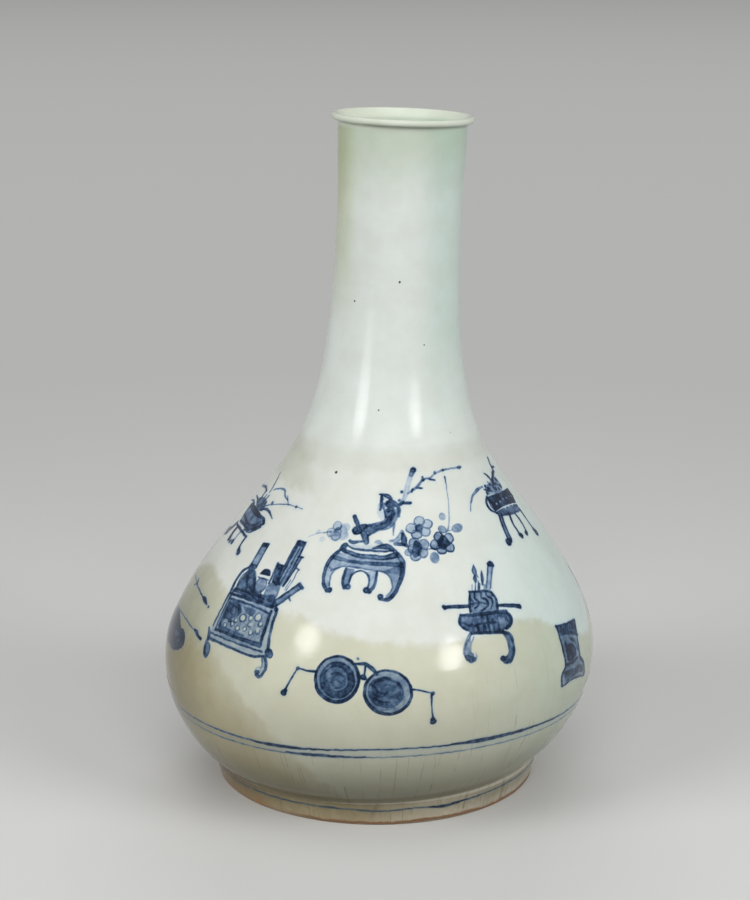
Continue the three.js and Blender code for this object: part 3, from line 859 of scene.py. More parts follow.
motifs["brushPot"] = {"around": 30, "height": 113, "load": 1.16, "strokes": [
    # brushes and a rolled paper in the pot
    line((0.5, 2, 2.9, 1.6, 0.5), 0.7, 3, 24.6, 2.6, 22.6, 2.4, 20.4, 3.2, 18.4, 3.6, 17.6),
    line((1.4, 2.3, 1.2), 0.88, 1.9, 18.8, 1.5, 17.2, 1.2, 15.6),
    line((0.7, 0.6), 0.6, 1, 15.6, -0.4, 10.6), line((0.7, 0.6), 0.56, 2.8, 15.8, 1, 10.6),
    line((0.4, 1.6, 1.8, 1), 0.82, 6.6, 20.8, 5.9, 18.4, 5.3, 15.6, 4.7, 13.8),
    line((1.4, 1), 0.72, 3, 14.4, 1.8, 10.8), line((1.6, 1.2), 0.4, 5.8, 13.2, 5, 10.6),
    line((2.6, 2.9, 3.2), 0.42, 7.4, 11, 9.4, 16, 13.6, 24),
    line((0.8, 0.8), 0.6, 6.2, 11.6, 8.2, 16.2, 12, 23.6),
    line((0.7, 0.6), 0.5, 9, 11.4, 11, 16, 15, 23.2),
    line((2.4, 3.4, 2), 0.8, 12.2, 23.6, 13.8, 23.7, 14.6, 23),
    line((0.6, 0.5), 0.4, -1.2, 14.4, -2.2, 11),
    # rod through the pot
    line((1.7, 1.9, 1.8), 0.97, -19.5, 6.1, -13, 5.2, -6.4, 4),
    dot((1, 0.9), 0.97, -19.3, 5.8, -19.8, 6.5), line((1.6, 2, 2.4), 0.97, 10, 2.1, 17, 1.2, 24, 0),
    dot(1.3, 0.97, 23.6, 0.1),
    # pot with waves
    wash(0.3, 0.4, -3.8, 11.3, 2, 10.4, 8.4, 9.2, 9.8, 6, 9.6, 0, 2, -0.6, -5.8, 1, -5.6, 6),
    line((1, 1.4, 1.2), 0.82, -3.8, 11.4, -4.8, 8, -6, 4.6, -6.4, 1.2),
    line((1, 1.4, 1.2), 0.84, -4, 11.4, 0, 10.5, 5, 10.4, 8.6, 9.2),
    line((1.2, 1.6, 1.4), 0.86, 8.4, 9.2, 9.7, 6.6, 9.9, 2.8, 9, -1),
    line((0.9, 1.2, 0.9), 0.78, -1.4, 9.8, -2, 7.6, -0.4, 5.6, -1.6, 3.4, -3.6, 2.6),
    line((0.9, 1.3, 1), 0.8, 2.4, 9.8, 1.8, 7.4, 4.2, 5.8, 4.4, 3.4, 2, 1.4, 0, 0.8),
    line((1, 1.3, 0.8), 0.78, 5.4, 10, 5, 8, 7.2, 6, 7.4, 3.6, 5.4, 1.2),
    line((0.9, 0.7), 0.62, -4.4, 7.8, -3.4, 5.4, -4.6, 3.6),
    line((0.9, 1.1, 0.9), 0.7, -5.4, 4.8, 0, 5, 3.4, 3.8), dot(1, 0.84, 8.8, 7.6),
    # tray
    wash(0.25, 0.56, -12.6, 0.2, -6, -0.6, 4, -1, 13, -1.6, 16.2, -4, 15.2, -8, 11, -10, 8, -11, 0, -10.4,
        -8.6, -9.4, -11, -7.4, -13.8, -5, -13.6, -1.6),
    line((1.2, 1.8, 1.8, 2.4), 0.88, -12.4, 0.6, -5, -0.6, 5, -1.2, 14, -1.8),
    line((1.6, 1.6, 1.3), 0.84, -12.2, 0.4, -13.7, -2.4, -13.2, -5, -11, -7),
    line((1.8, 2.4, 1.8), 0.86, 14, -2, 16, -4.4, 15, -8, 11.4, -9.8),
    line((1.2, 1, 1.2), 0.78, -11.6, -3.6, -8, -5.8, -1, -5.6, 6, -6.4),
    line((1.6, 1.8), 0.82, -0.8, -1.2, -1.2, -9.4), line((1.4, 1.2), 0.76, 2, -2, 1.4, -9.8),
    line((1.2, 1.1), 0.72, 4.6, -4.6, 4, -10), line((1.2, 1.6), 0.8, 7.4, -6.8, 7, -10.4),
    line((1.8, 1.4), 0.8, -7.4, -5.4, -8, -9.6), line((1.4, 1.2), 0.72, -4.6, -6, -5, -9.4),
    line((1, 1.8, 1.4), 0.8, 8, -3.4, 12, -3.6, 13.4, -6),
    line((1.3, 1.5, 1.4), 0.84, -9, -9.6, 0, -10.6, 8.4, -11.8),
    # legs curling in
    line((2, 1.4, 1.2, 1), 0.5, -9.6, -9.6, -13, -13.4, -15.6, -18, -15, -21.8),
    wash(0.2, 0.42, -9.6, -10.4, -13.6, -14, -15.8, -19, -14.6, -22.6, -11.6, -23.2, -10.6, -19.6,
        -11.8, -17.8, -10.6, -14),
    dot((1.9, 1.7, 1.3), 0.72, -12.4, -22, -14, -20.8, -10.8, -22.2),
    line((1.6, 1.2, 0.6), 0.3, -11.4, -22.6, -9.2, -21.2, -9.4, -19.4),
    line((0.6, 0.7), 0.46, -8.4, -11.4, -10.4, -14.4, -11.6, -17.8),
    wash(0.25, 0.62, 8, -11.4, 12.2, -12.8, 13.9, -17, 13, -22.6, 10.4, -27, 7, -27, 6.6, -24.6, 9, -23,
        10, -19, 9.4, -14.6),
    line((1.5, 1.9, 1.8, 1.6), 0.82, 9, -11.2, 12.6, -13.2, 13.8, -18, 12.4, -23.6, 9.4, -27),
    dot((2.1, 1.6), 0.92, 7.3, -25.6, 5.6, -24.6),
]}


motifs["spectacles"] = {"around": -4, "height": 84, "load": 1.4, "strokes": [
    ring((10.9, 11.2, 1.7, 0, 0.35), 0.92, -14, 3.6), ring((7.3, 7.6, 3.3, 30, 0.2), 0.74, -14, 3.4),
    ring((3.4, 3.2, 1, 0, 0.08), 0.34, -13, 2.6),
    line((2.2, 3, 1.6), 0.4, -20.6, 5.4, -19.4, 0.6, -16.4, -2.6),
    line((0.8, 1.4, 0.6), 0.5, -17.4, 1.6, -14.4, 3, -11.2, 1.4),
    line((0.7, 1.1, 0.5), 0.4, -16.8, 6, -13.2, 6.8, -10.2, 5),
    line((0.8, 0.5), 0.3, -16, -1.6, -12, -0.6, -10, 0.6),
    line((0.9, 1.3, 0.7), 0.36, -22.2, -1.6, -20, -5, -15.6, -7),
    ring((11.6, 10.8, 1.6, -12, 0.33), 0.92, 11.6, -2.4),
    ring((8, 6.8, 1.9, -15, 0.26), 0.46, 10.4, -2.2), ring((4, 3, 1.2, 0, 0.05), 0.3, 12, -1.6),
    line((1.8, 3.4, 2.6, 1), 0.66, 4.2, 0.6, 5.4, -2.4, 8.2, -3.6, 11, -2.2),
    line((1.4, 1), 0.62, 4.6, -5, 8, -6.8, 12.4, -7.2),
    line((1.3, 1.7, 0.8), 0.5, 5, 2.4, 9, 4.4, 14, 3.4),
    line((1.6, 2.6, 1.4), 0.42, 16.4, 2.6, 18, -1.4, 16, -5),
    line((0.8, 1.4, 0.8), 0.3, 2.6, -8, 8, -11, 15, -10),
    # bridge with its knob
    line((1.2, 1.6, 2.2, 1.6), 0.96, -4.8, 11.2, -0.6, 11.3, 2.6, 9.8, 4.6, 8, 5.6, 6.4),
    line((1, 0.8), 0.88, 0, 10.4, -0.5, 5.6), dot((1.5, 1), 0.98, -0.9, 4.9, 0, 4.2),
    # side pieces
    line((1.2, 0.9, 0.9), 0.82, -25, 7, -30, 7.5, -34, 8.5), dot(1.15, 0.74, -35, 8.5),
    line((0.9, 1, 1.1), 0.8, -35.6, 8, -39, 2.4, -42, -3), dot((1.9, 1.3), 0.95, -43, -4.6, -41.9, -3.2),
    line((1, 0.8, 0.9), 0.84, 23.6, -0.4, 29, -1.2, 34, -2.2), dot(1.1, 0.86, 34.4, -2.4),
    line((1.2, 0.7, 0.8, 1.2), 0.84, 33.8, -3, 34, -8, 34.8, -13, 35.8, -17),
    dot((1.9, 1.4), 0.95, 36.2, -19, 35.6, -17.4), dot(0.75, 0.5, -4, 14),
]}

motifs["grassPlanter"] = {"around": -66, "height": 146, "load": 2.1, "strokes": [
    # blades and flower stems
    line((0.9, 1.5, 1.6, 0.8), 0.72, -34, 16.2, -26, 15.6, -17, 15.4, -11.6, 14),
    line((1.4, 1.8, 1.2), 0.74, -12.8, 14.2, -12.6, 11, -11.6, 7),
    line((0.5, 1.2, 0.9), 0.62, -10, 26, -7.6, 19.6, -6.6, 14.4),
    line((0.6, 1, 1.4, 1, 0.6), 0.4, -4.4, 16.6, 1, 18.8, 6.6, 19.6, 10, 17.4, 14.4, 16),
    line((0.6, 0.5), 0.34, 12, 18, 17.4, 14),
    line((0.8, 0.9, 0.7, 0.6), 0.34, -5, 5.4, 3, 9.2, 12, 12.8, 18, 14.6),
    line((0.6, 0.5), 0.28, 18, 14.6, 23.4, 15.8, 28.6, 17), dot(0.75, 0.72, 23.6, 15.8),
    line((1, 1.8, 1.2, 0.5), 0.54, -3.4, 4.6, 2.4, 6.2, 8, 5.6, 13, 3.8),
    line((0.7, 1.2, 0.8), 0.62, -25, 9.6, -19, 8.6, -13, 6.4),
    line((0.7, 1.1, 0.8), 0.6, -30, 6, -23, 6.2, -16, 4.8), line((1.1, 0.8), 0.62, -8, 12.4, -9, 5.4),
    line((1.2, 0.8), 0.6, -4.6, 12.6, -6.6, 6), wash(0.1, 0.34, -18, 8, -10, 10.6, -2, 9, 0, 5, -10, 4),
    dot((1.2, 1), 0.6, -3, 8.6, 3.6, 10.6),
    # bowl
    wash(0.2, 0.34, -22, 4.4, -8, 3, 4, 2, 8.6, 0, 6, -5, 0, -8.4, -10, -7.6, -18, -6.8, -22, -2),
    line((2, 2.6, 1.8), 0.44, 4.6, -0.8, 2.6, -4.4, -3.4, -6),
    line((2.4, 3, 2.8, 2, 1.6), 0.88, -21, 3.8, -10, 2.4, 0, 1.4, 7, 0.8, 9, -0.6),
    line((1.2, 1.6, 1.2), 0.74, -20.6, -2.4, -14, -3.8, -5, -5.4, 1, -4.2),
    line((1.6, 1.2), 0.7, 9, -0.8, 4, -5.2, -1, -7.4),
    line((1.2, 1.5, 1.1), 0.72, -19.6, -6.2, -9, -7, -1, -7.8),
    line((0.9, 0.8), 0.6, 8.6, -3, 2, -8.4, -6, -9),
    # stand
    line((1.2, 1.4, 1.3), 0.8, -21, -8.8, -10, -10, 2, -11.4),
    line((2.6, 3.2, 4), 0.9, -22.6, -8.6, -26, -12, -32, -14.4),
    dot((2.8, 2.5), 0.92, -33, -15, -29, -14.6),
    line((2.6, 3.4), 0.88, -16.6, -10.6, -17.4, -13.6, -17, -16),
    dot((1.9, 1.3, 1.7), 0.94, -16.6, -17.2, -13, -18.2, -9.6, -17.6),
    line((1.8, 1.6), 0.3, -8, -11, -8.6, -14.4, -9, -17),
    line((1.6, 1.3, 1.8), 0.84, 1.6, -11.6, 1.6, -16.6, 3.4, -19.6),
    dot((1.7, 1.3), 0.9, 4.4, -20.2, 2.8, -18.8),
]}

motifs["tallPlanter"] = {"around": 58, "height": 156, "load": 2.3, "lights": [
    (0.62, -0.6, -0.8), (0.62, 3.4, -0.4), (0.6, 7.8, 0), (0.6, 12, 0.2), (0.55, 16, 0.2),
    (0.5, 19.6, 0.2), (0.7, 5, -4.4), (0.7, 9, -4.4), (0.6, 14, -4.6),
], "strokes": [
    line((1, 1.6, 1.4, 1, 0.6), 0.34, -4, 10.2, -9.4, 9.8, -14.6, 8.2, -18.6, 5.2, -21.6, 2),
    wash(0.1, 0.2, -4.4, 5, -2.4, 9.6, 4, 10.6, 8, 12.6, 13.6, 12, 15.2, 8, 13, 5),
    dot((1.3, 1, 0.9, 1.3, 1.2, 0.9, 0.8, 0.7, 0.8), 0.76, 0, 7.8, -3.2, 6.2, 8, 8.8, 13.6, 7, 12.4, 10.6,
        6.6, 6.6, 3, 9.8, -1.6, 10, 10, 5.8),
    line((0.5, 0.9, 0.4), 0.6, -4, 8.6, -1, 7, 2.4, 5.6),
    line((0.5, 0.8, 0.4), 0.6, 2, 11.6, 4.4, 8.4, 5, 5.4),
    line((0.6, 1.5, 1), 0.62, 3, 16.2, 5.2, 14.4, 6.4, 11.6),
    line((1.2, 1.8, 1.4), 0.66, 5, 7.6, 9, 12.2, 12.6, 14.4), line((2, 1.6), 0.84, 12, 14.4, 15.6, 15.8),
    line((1.6, 1.4, 1.8), 0.74, 15, 16, 15.2, 19, 16.4, 22.6),
    line((1.4, 0.8), 0.84, 15.6, 17.8, 19.6, 17.6), line((1.2, 0.7), 0.7, 9.6, 9.2, 13.6, 6),
    pane(0.1, 0.84, -5.6, 4.4, 6, 3.8, 22, 4.6, 22.8, 0, 20.6, -4, 4, -3.4, -5, -4),
    pane(0.3, 0.42, -4.4, -4.4, 4, -4.2, 20.4, -4.8, 19.6, -8.8, 6, -8.6, -2, -7.4),
    line((0.9, 1.1, 0.8), 0.6, -3, -7.2, 5, -8.4, 19.6, -8.8),
    line((1.3, 1.5, 1.3), 0.86, -5, 4.6, -8, 1.6, -7.8, -2.4, -4.8, -5),
    line((0.6, 0.5), 0.7, -5.4, 2.8, -6, -1, -4.8, -3.6),
    line((1.6, 1.2, 1), 0.8, -4, -6, -6.4, -12, -8.2, -19.6),
    line((0.9, 0.8), 0.64, -1.6, -6.6, -4, -12.4, -5.4, -20),
    line((1.6, 1.4), 0.34, -2.8, -8, -5.2, -13, -6.8, -20), dot((2, 1.4), 0.92, -9.2, -21, -7, -20.6),
    line((1.8, 1.5, 1.4), 0.7, 5, -8.4, 3.2, -13, 3.4, -20), dot((1.5, 1.1), 0.9, 4.4, -21, 3.4, -20.2),
    line((1.4, 1.4, 1.3), 0.72, 11, -8.6, 12, -14, 11.6, -19.8),
    dot((1.4, 1.1), 0.88, 10.2, -21, 11.2, -20.4),
    line((1.6, 1.3, 1.4), 0.76, 20, -8, 20.6, -14, 21.8, -20.6),
    dot((2.2, 1.6), 0.88, 23, -22.6, 22, -21),
]}

motifs["fringedCase"] = {"around": 60, "height": 81, "load": 2.0, "strokes": [
    pane(0.2, 0.31, -7.4, 16.4, 3, 15.2, 14.8, 14, 12, 9, 10.6, 3, 9.8, -4, 13.6, -8, 16, -12, 17.6, -17.6,
        10, -15.4, 0, -13.6, -12, -14.4, -12.4, -8, -8, -4.6, -7.6, 6),
    pane(0.1, 0.3, -7, 16.2, 14.6, 13.8, 11.6, 8.4, 4, 9.4, -6.6, 11.4),
    wash(0, 0.6, -3.6, 8.4, -1, 5.4, 3, 4.4, 6.4, 1, 5, -2, 0, -3.4, -4.4, -2.6, -4.6, 3),
    line((1.6, 2.6, 1.4), 0.6, -4, 6, -2.6, 1.6, 1.4, -1.6),
    line((1, 1.8, 1.2), 0.5, 2.6, 7.4, 7, 4, 8.4, -1),
    line((1.3, 1, 1.4), 0.78, -7.2, 17, 0, 15.7, 14.8, 14.2), dot(1, 0.86, -6.4, 16.4),
    line((1.3, 1.2, 1.5), 0.76, -6.8, 15.6, -7.4, 8, -7.4, 0, -7.2, -4),
    line((1.6, 1.4, 1.2, 1.6), 0.78, 14.6, 13.8, 12.2, 9, 10.6, 3, 9.8, -4),
    line((1.8, 1.6, 1.6), 0.8, 3, 10.4, 8, 8.8, 12.4, 6.6),
    line((1.6, 1.2), 0.76, -7.6, -3.8, -1, -4.6, 6, -4),
    line((1.5, 1.7, 1.3), 0.78, -8, -5, -12, -8, -12.4, -14),
    line((1.8, 1.6, 1.8), 0.78, 9.6, -5, 14.4, -9, 16.6, -13.6, 17.6, -17),
    line((0.9, 0.8, 1.2), 0.7, -12, -14.6, -2, -13.8, 9, -15.4, 17.4, -17.6),
    wash(0.1, 0.4, -10, -7, 0, -8, 12, -10, 14, -13, 4, -12, -9, -11.6),
    line((0.8, 0.5), 0.8, 4.6, 11.6, 7, 14), line((0.8, 0.5), 0.8, 6.8, 11.2, 9, 13.6),
    line((0.8, 0.5), 0.8, 9, 10.8, 11.2, 13.4), line((0.8, 0.5), 0.8, 11.2, 10.4, 13.2, 13.2),
    line((0.8, 0.5), 0.74, 2.4, 12, 4.8, 14.4), line((0.8, 0.5), 0.7, 0.2, 12.4, 2.4, 14.8),
    line((0.8, 0.5), 0.66, -2, 12.8, 0.2, 15), line((0.8, 0.5), 0.62, -4.4, 13, -2.2, 15.4),
]}

motifs["gourdWithStrings"] = {"around": -72, "height": 92, "load": 2.2, "strokes": [
    wash(0.25, 0.68, -29, -1.6, -18, 1.2, -8, -0.6, 0, -3, 7.6, -3.6, 12, -6.8, 12.4, -10, 7, -13, 0, -15,
        -14, -15.2, -27, -13.4, -32, -10, -32.6, -5),
    line((1, 1.4, 1.2, 2.2, 1.4, 1.2), 0.88, -28, -13.6, -33, -9, -30, -2, -18, 1.2, -8, -0.4, 1, -3.4),
    line((1, 1.2, 0.9), 0.8, 1, -3.4, 8.6, -3.8, 12.6, -7.6, 11.6, -11.2),
    line((1.4, 1.2, 1), 0.78, -26, -7, -12, -8.6, 0, -8.2, 8, -7),
    line((1.2, 1.2, 1.2), 0.76, -24, -11.4, -10, -12, 2, -11.6, 9, -10),
    line((1.2, 1.2, 1), 0.8, -28, -13.6, -12, -15.4, 1, -15, 9, -12.4),
    line((1.6, 1.2, 0.8), 0.86, -32.6, -6, -36, -4.6, -38.6, -5.6),
    dot((1.5, 1), 0.92, 4.6, -4, 0.6, -15.4),
    line((0.5, 0.5, 0.6, 0.8), 0.74, -28, 21.4, -12, 20, 0, 18.6, 8.6, 17.6),
    line((0.6, 1.6, 0.8), 0.86, -13.6, 22.4, -11.4, 21, -8.6, 19.8),
    line((0.9, 1.2, 0.6), 0.84, -14, 18.2, -11.4, 19.2, -8, 19.6),
    line((1, 2.3, 2, 0.7), 0.92, 8.4, 17.6, 11.6, 17.4, 14, 16.8, 17, 16.2), dot(0.8, 0.66, 19.4, 16),
    line((0.6, 0.5), 0.5, 13.6, 1.8, 18, 1.8),
    line((1, 2.2, 1.4, 1.6), 0.92, 17.8, 2, 20.4, 1.8, 24, 0.8, 28, 0.5),
    line((0.5, 0.5, 0.5), 0.66, -28, 3.2, -18, 2.4, -4, 2.6, 13, 1.8),
]}


# Shapes that several of the motifs at the back share
def mirrored(strokes):
    # The strokes and their mirror images across the motif's middle
    return strokes + [(tool, sizes, ink * 0.96, [(-u, v) for u, v in points])
                      for tool, sizes, ink, points in strokes]


def tableStand(half, top, drop, ink=0.84):
    # Low table of this half width: a board, an apron and two pairs of legs that curl at the foot
    foot = top - drop
    legs = [
        line((1.6, 1.3, 1.9), ink, (-half * 0.92, top - 1), (-half * 1.02, top - drop * 0.55),
            (-half * 0.8, foot)),
        line((1.2, 1, 1.5), ink * 0.9, (-half * 0.4, top - 3), (-half * 0.48, top - drop * 0.6),
            (-half * 0.3, foot + 2)),
        dot((1.5, 1.3), ink, (-half * 0.7, foot + 0.2), (-half * 0.24, foot + 2)),
    ]
    return [
        wash(0.3, 0.34, (-half, top), (half, top), (half * 0.94, top - 3), (half * 0.6, top - 3.8),
            (-half * 0.6, top - 3.8), (-half * 0.94, top - 3)),
        line((1.3, 1.9, 1.5), ink, (-half - 1, top + 0.4), (0, top), (half + 1, top + 0.3)),
        line((0.9, 1.2, 1), ink * 0.86, (-half * 0.9, top - 3), (0, top - 3.6), (half * 0.9, top - 3)),
    ] + mirrored(legs)


def blossom(u, v, size, ink=0.56):
    # Five round petals and a dark eye
    turns = np.radians([8, 80, 152, 224, 296])
    petals = [(u + size * math.sin(turn), v + size * math.cos(turn)) for turn in turns]
    return [
        ring((size * 0.72, size * 0.64, 0.55, 0, 0.18), ink, *petals),
        dot(size * 0.36, ink + 0.22, (u, v)),
    ]


def paperRoll(start, end, width, ink=0.76):
    # A roll of paper from start to end: a pale wash, its two edges and its dark mouths
    (u0, v0), (u1, v1) = start, end
    length = math.hypot(u1 - u0, v1 - v0)
    a, b = (v0 - v1) / length * width / 2, (u1 - u0) / length * width / 2
    return [
        pane(0.3, 0.3, (u0 + a, v0 + b), (u1 + a, v1 + b), (u1 - a, v1 - b), (u0 - a, v0 - b)),
        bar((1.1, 0.8), ink, (u0 + a, v0 + b), (u1 + a, v1 + b)),
        bar((0.8, 1.1), ink, (u0 - a, v0 - b), (u1 - a, v1 - b)),
        bar((1.8, 2), ink + 0.1, (u1 + a, v1 + b), (u1 - a, v1 - b)),
        bar((1.5, 1.4), ink, (u0 + a, v0 + b), (u0 - a, v0 - b)),
    ]


def tassel(u, v, length, ink=0.7):
    # A knot and its hanging threads
    return [dot(1.2, ink + 0.14, (u, v))] + [
        line((0.6, 0.9, 0.4), ink, (u, v), (u + k * 0.8, v - length * 0.5), (u + k * 1.5 + 0.4, v - length))
        for k in (-1, 0, 1)]


motifs["bookStack"] = {"around": 98, "height": 98, "strokes": [
    pane(0.3, 0.34, -18, -9, -17, 6.6, 16, 5.6, 18, -10),
    line((0.8, 0.6), 0.5, -17.6, 2.6, 0, 2, 17, 1.4),
    line((0.6, 0.8), 0.46, -17.8, -1.4, 0, -2, 17.4, -2.6),
    line((0.8, 0.7), 0.5, -18, -5.4, 0, -6, 17.8, -6.6), bar((1.4, 1.9), 0.86, -18.4, -9.4, 18.4, -10.6),
    bar((1.6, 1.3), 0.84, -17.6, 7, 16.6, 6), bar((1.8, 1.4), 0.84, -17.2, 6.8, -18.2, -9.2),
    bar((1.2, 1.6), 0.82, 16.2, 5.8, 18, -10.2), bar((2.4, 2.8), 0.74, -9, 7.4, -9.8, -10),
    bar((2.6, 2.2), 0.72, 7.6, 6.8, 8.6, -10.4), dot((1.6, 1.4), 0.88, -9.2, 1.4, 8, 0.8),
] + paperRoll((15, 10.4), (-17.4, 12.6), 5.4) + tassel(19.4, 9.6, 9)}

motifs["tripodCenser"] = {"around": 118, "height": 150, "strokes": [
    wash(0.3, 0.34, -12, 3, -13, -3, -9, -9, 0, -11, 9, -9, 13, -3, 12, 3),
    wash(0, 0.44, 2, -1, 11, -2, 11.6, -6, 4, -9.6, -3, -9),
    line((1.6, 1.9, 1.7), 0.88, -14, 3.6, 0, 2.8, 14, 3.5),
    line((1.1, 1.5, 1.9, 1.5, 1.1), 0.82, -12, 2.4, -13, -4, -8, -9.4, 0, -11.4, 8, -9.6, 13, -4, 12, 2.4),
    line((0.9, 1.2, 0.9), 0.66, -12.6, -1, 0, -2, 12.6, -1),
    line((0.8, 1, 0.8), 0.6, -12, -5, 0, -6.2, 12, -5),
    dot(0.9, 0.74, -9, -3.2, -4.6, -3.8, 0, -4, 4.6, -3.8, 9, -3.2),
    line((0.4, 1.5, 1, 0.4), 0.3, -1, 4, -3.4, 9, 0.6, 13, -1.6, 18, 2.4, 23),
    line((0.4, 1.1, 0.4), 0.24, 2.4, 4, 4.6, 9, 1.8, 13.4, 5, 18),
    line((2.4, 1.8, 2), 0.84, 0.4, -11, 0.2, -15.4, 0.8, -19.4), dot(1.5, 0.88, 1, -20),
] + mirrored([
    line((1.7, 1.3, 1.6), 0.84, -12.4, 3.6, -15.6, 6, -15, 9.8, -11.8, 9.2),
    line((2.8, 1.9, 2.2), 0.84, -8.4, -9, -11, -14.4, -9.6, -18.6), dot(1.6, 0.88, -9, -19.4),
])}

motifs["vaseWithBranch"] = {"around": 180, "height": 146, "strokes": [
    wash(0.3, 0.32, -3, 4, -3.4, 1, -7.2, -3, -7.4, -8, -4, -12, 4, -12, 7.4, -8, 7.2, -3, 3.4, 1, 3, 4),
    wash(0, 0.4, 1, -1, 6, -4, 6.2, -8, 3, -11.4, 0, -9),
    line((0.8, 1.1, 0.8), 0.66, -7, -4, 0, -5, 7, -4),
    line((0.8, 1, 0.8), 0.6, -6.8, -8.6, 0, -9.6, 6.8, -8.6),
    line((1.4, 1.6, 1.4), 0.86, -4.4, 4.4, 0, 3.8, 4.4, 4.4),
    line((1.4, 2, 1.6, 1, 0.6), 0.82, 0, 4, -2.6, 9, 2.6, 13.6, 0.6, 19, 6.6, 25.4, 12, 27.4),
    line((1.4, 0.9, 0.5), 0.76, -1.6, 8, -7.4, 12.6, -13, 13.4),
    line((1.1, 0.8, 0.5), 0.74, 1.6, 15, 8, 15.6, 13.4, 19), line((0.9, 0.5), 0.7, 0.6, 19.6, -5, 23.4),
    dot((0.9, 0.8, 0.9, 0.7), 0.76, 10, 24.4, 13.6, 27.6, -6, 23.8, 4.6, 21.4),
    dot((1.4, 1.2, 1.3), 0.36, -15.4, 16.8, 17.4, 21.6, -3.4, 27),
] + mirrored([
    line((1.1, 1.5, 1.7, 1.3), 0.82, -3.4, 4, -3.6, 0.8, -7.6, -3.4, -7, -9.4, -3.8, -12.4),
]) + blossom(-9, 17, 2.5) + blossom(12.6, 14.4, 2.7) + blossom(8.4, 21, 2.2, 0.44)
    + tableStand(10, -12.6, 9)}

motifs["fruitDish"] = {"around": 240, "height": 148, "strokes": [
    wash(0.3, 0.34, -16, -2, -13, -6.6, -5, -9.4, 5, -9.4, 13, -6.6, 16, -2),
    line((1.4, 1.9, 1.4), 0.86, -17, -1.6, 0, -2.6, 17, -1.4),
    line((1.1, 1.7, 1.9, 1.6, 1.1), 0.82, -16, -2, -12, -7.2, 0, -9.8, 12, -7.2, 16, -2),
    line((0.8, 1.1, 0.8), 0.6, -14, -4.6, 0, -6, 14, -4.6), dot(1, 0.7, -8, -7, -2.8, -8, 2.8, -8, 8, -7),
    wash(0.3, 0.4, -3.4, -9.6, -3, -14, -7, -17.6, 7, -17.6, 3, -14, 3.4, -9.6),
    line((1.5, 1.9, 1.5), 0.86, -8, -18, 0, -18.6, 8, -18),
    ring((5.6, 5.2, 1.2, 10, 0.3), 0.78, -8.4, 3.4), ring((5.2, 5.6, 1.1, -10, 0.42), 0.76, 1.4, 3.8),
    ring((5, 4.6, 1.2, 0, 0.26), 0.78, 10.2, 2.6), ring((4.6, 4.4, 1.1, 0, 0.34), 0.76, -3.4, 10.6),
    line((0.6, 0.8, 0.5), 0.6, -10, 6.4, -8, 4, -8.6, 1),
    line((0.6, 0.9, 0.5), 0.6, 2.6, 7.6, 3.6, 4, 2, 1), line((1, 0.7), 0.8, -3, 14.6, -2, 18.4),
    wash(0.3, 0.6, -2, 16.4, 1.6, 19.4, 6.6, 19, 4, 16.4),
    wash(0.3, 0.5, -2.4, 16.6, -5.6, 20, -9.6, 19.4, -6.4, 16.6),
] + mirrored([line((1, 1.4, 1.2), 0.8, -3.2, -10, -3, -14, -7.4, -17.8)])}

motifs["tiedBooks"] = {"around": 150, "height": 112, "strokes": [
    pane(0.2, 0.3, -14, -10, -16, -1, 10, 3.4, 13, -6), bar((1.6, 1.3), 0.84, -16.4, -0.8, 10.4, 3.8),
    bar((1.5, 1.9), 0.86, -14.4, -10.4, 13.2, -6.4), bar((1.5, 1.3), 0.82, -16.2, -1, -14.2, -10),
    bar((1.1, 1.6), 0.82, 10.2, 3.4, 13.2, -6), line((0.7, 0.6), 0.5, -15.6, -3.8, -2, -1.4, 11, 0.6),
    line((0.6, 0.7), 0.5, -15, -6.8, -1, -4.4, 12, -2.6), bar((2.2, 2.6), 0.74, -7.4, 1, -5.4, -9),
    bar((2.4, 2), 0.7, 3, 2.8, 5.4, -7.4), pane(0.3, 0.44, -11, 2, -10, 8, 7, 9, 8, 4.6),
    bar((1.4, 1.2), 0.84, -10.4, 8.4, 7.4, 9.4), bar((1.2, 1), 0.78, -11, 2.2, -10.2, 8.2),
    bar((1, 1.3), 0.78, 7.4, 9.2, 8.4, 4.4), line((0.6, 0.6), 0.54, -10.6, 5, -1, 5.8, 7.6, 6.8),
] + paperRoll((-14, 10), (13, 18.6), 5.2) + tassel(-15.6, 9.4, 10) + tassel(15.4, 19, 7, 0.6)}

motifs["scrollJar"] = {"around": 205, "height": 110, "strokes": [
    *paperRoll((-4.6, 8), (-9, 27), 4.6),
    *paperRoll((4.4, 8), (9.6, 24), 5),
    *paperRoll((0, 8), (0.8, 30), 4.2),
    line((0.8, 0.6, 0.5), 0.7, -7, 8, -13, 16, -14, 22),
    wash(0.3, 0.66, -14, 22, -16, 26, -13.6, 30, -12.2, 25.6),
    pane(0.3, 0.34, -9.4, 9, -8.6, -9, 8.6, -9, 9.4, 9),
    line((1.6, 2, 1.6), 0.88, -10.4, 9.4, 0, 8.4, 10.4, 9.4),
    line((1.6, 1.9, 1.6), 0.86, -9.6, -9.4, 0, -10.2, 9.6, -9.4),
    line((0.8, 1.1, 0.8), 0.64, -9.2, 5, 0, 4, 9.2, 5),
    line((0.8, 1.1, 0.8), 0.64, -8.8, -5, 0, -6, 8.8, -5),
    line((1, 1.4, 1, 1.3, 0.9), 0.76, -8.4, 1.4, -5, 3, -2.6, -2, 1, 2.6, 4, -2, 8, 1.8),
    dot(0.9, 0.7, -5, -1.6, 1, -1.8, 6.4, -1.8),
] + mirrored([line((1.5, 1.2, 1.5), 0.84, -9.8, 9, -8.8, 0, -9, -9.4)]) + tableStand(12, -12, 9)}

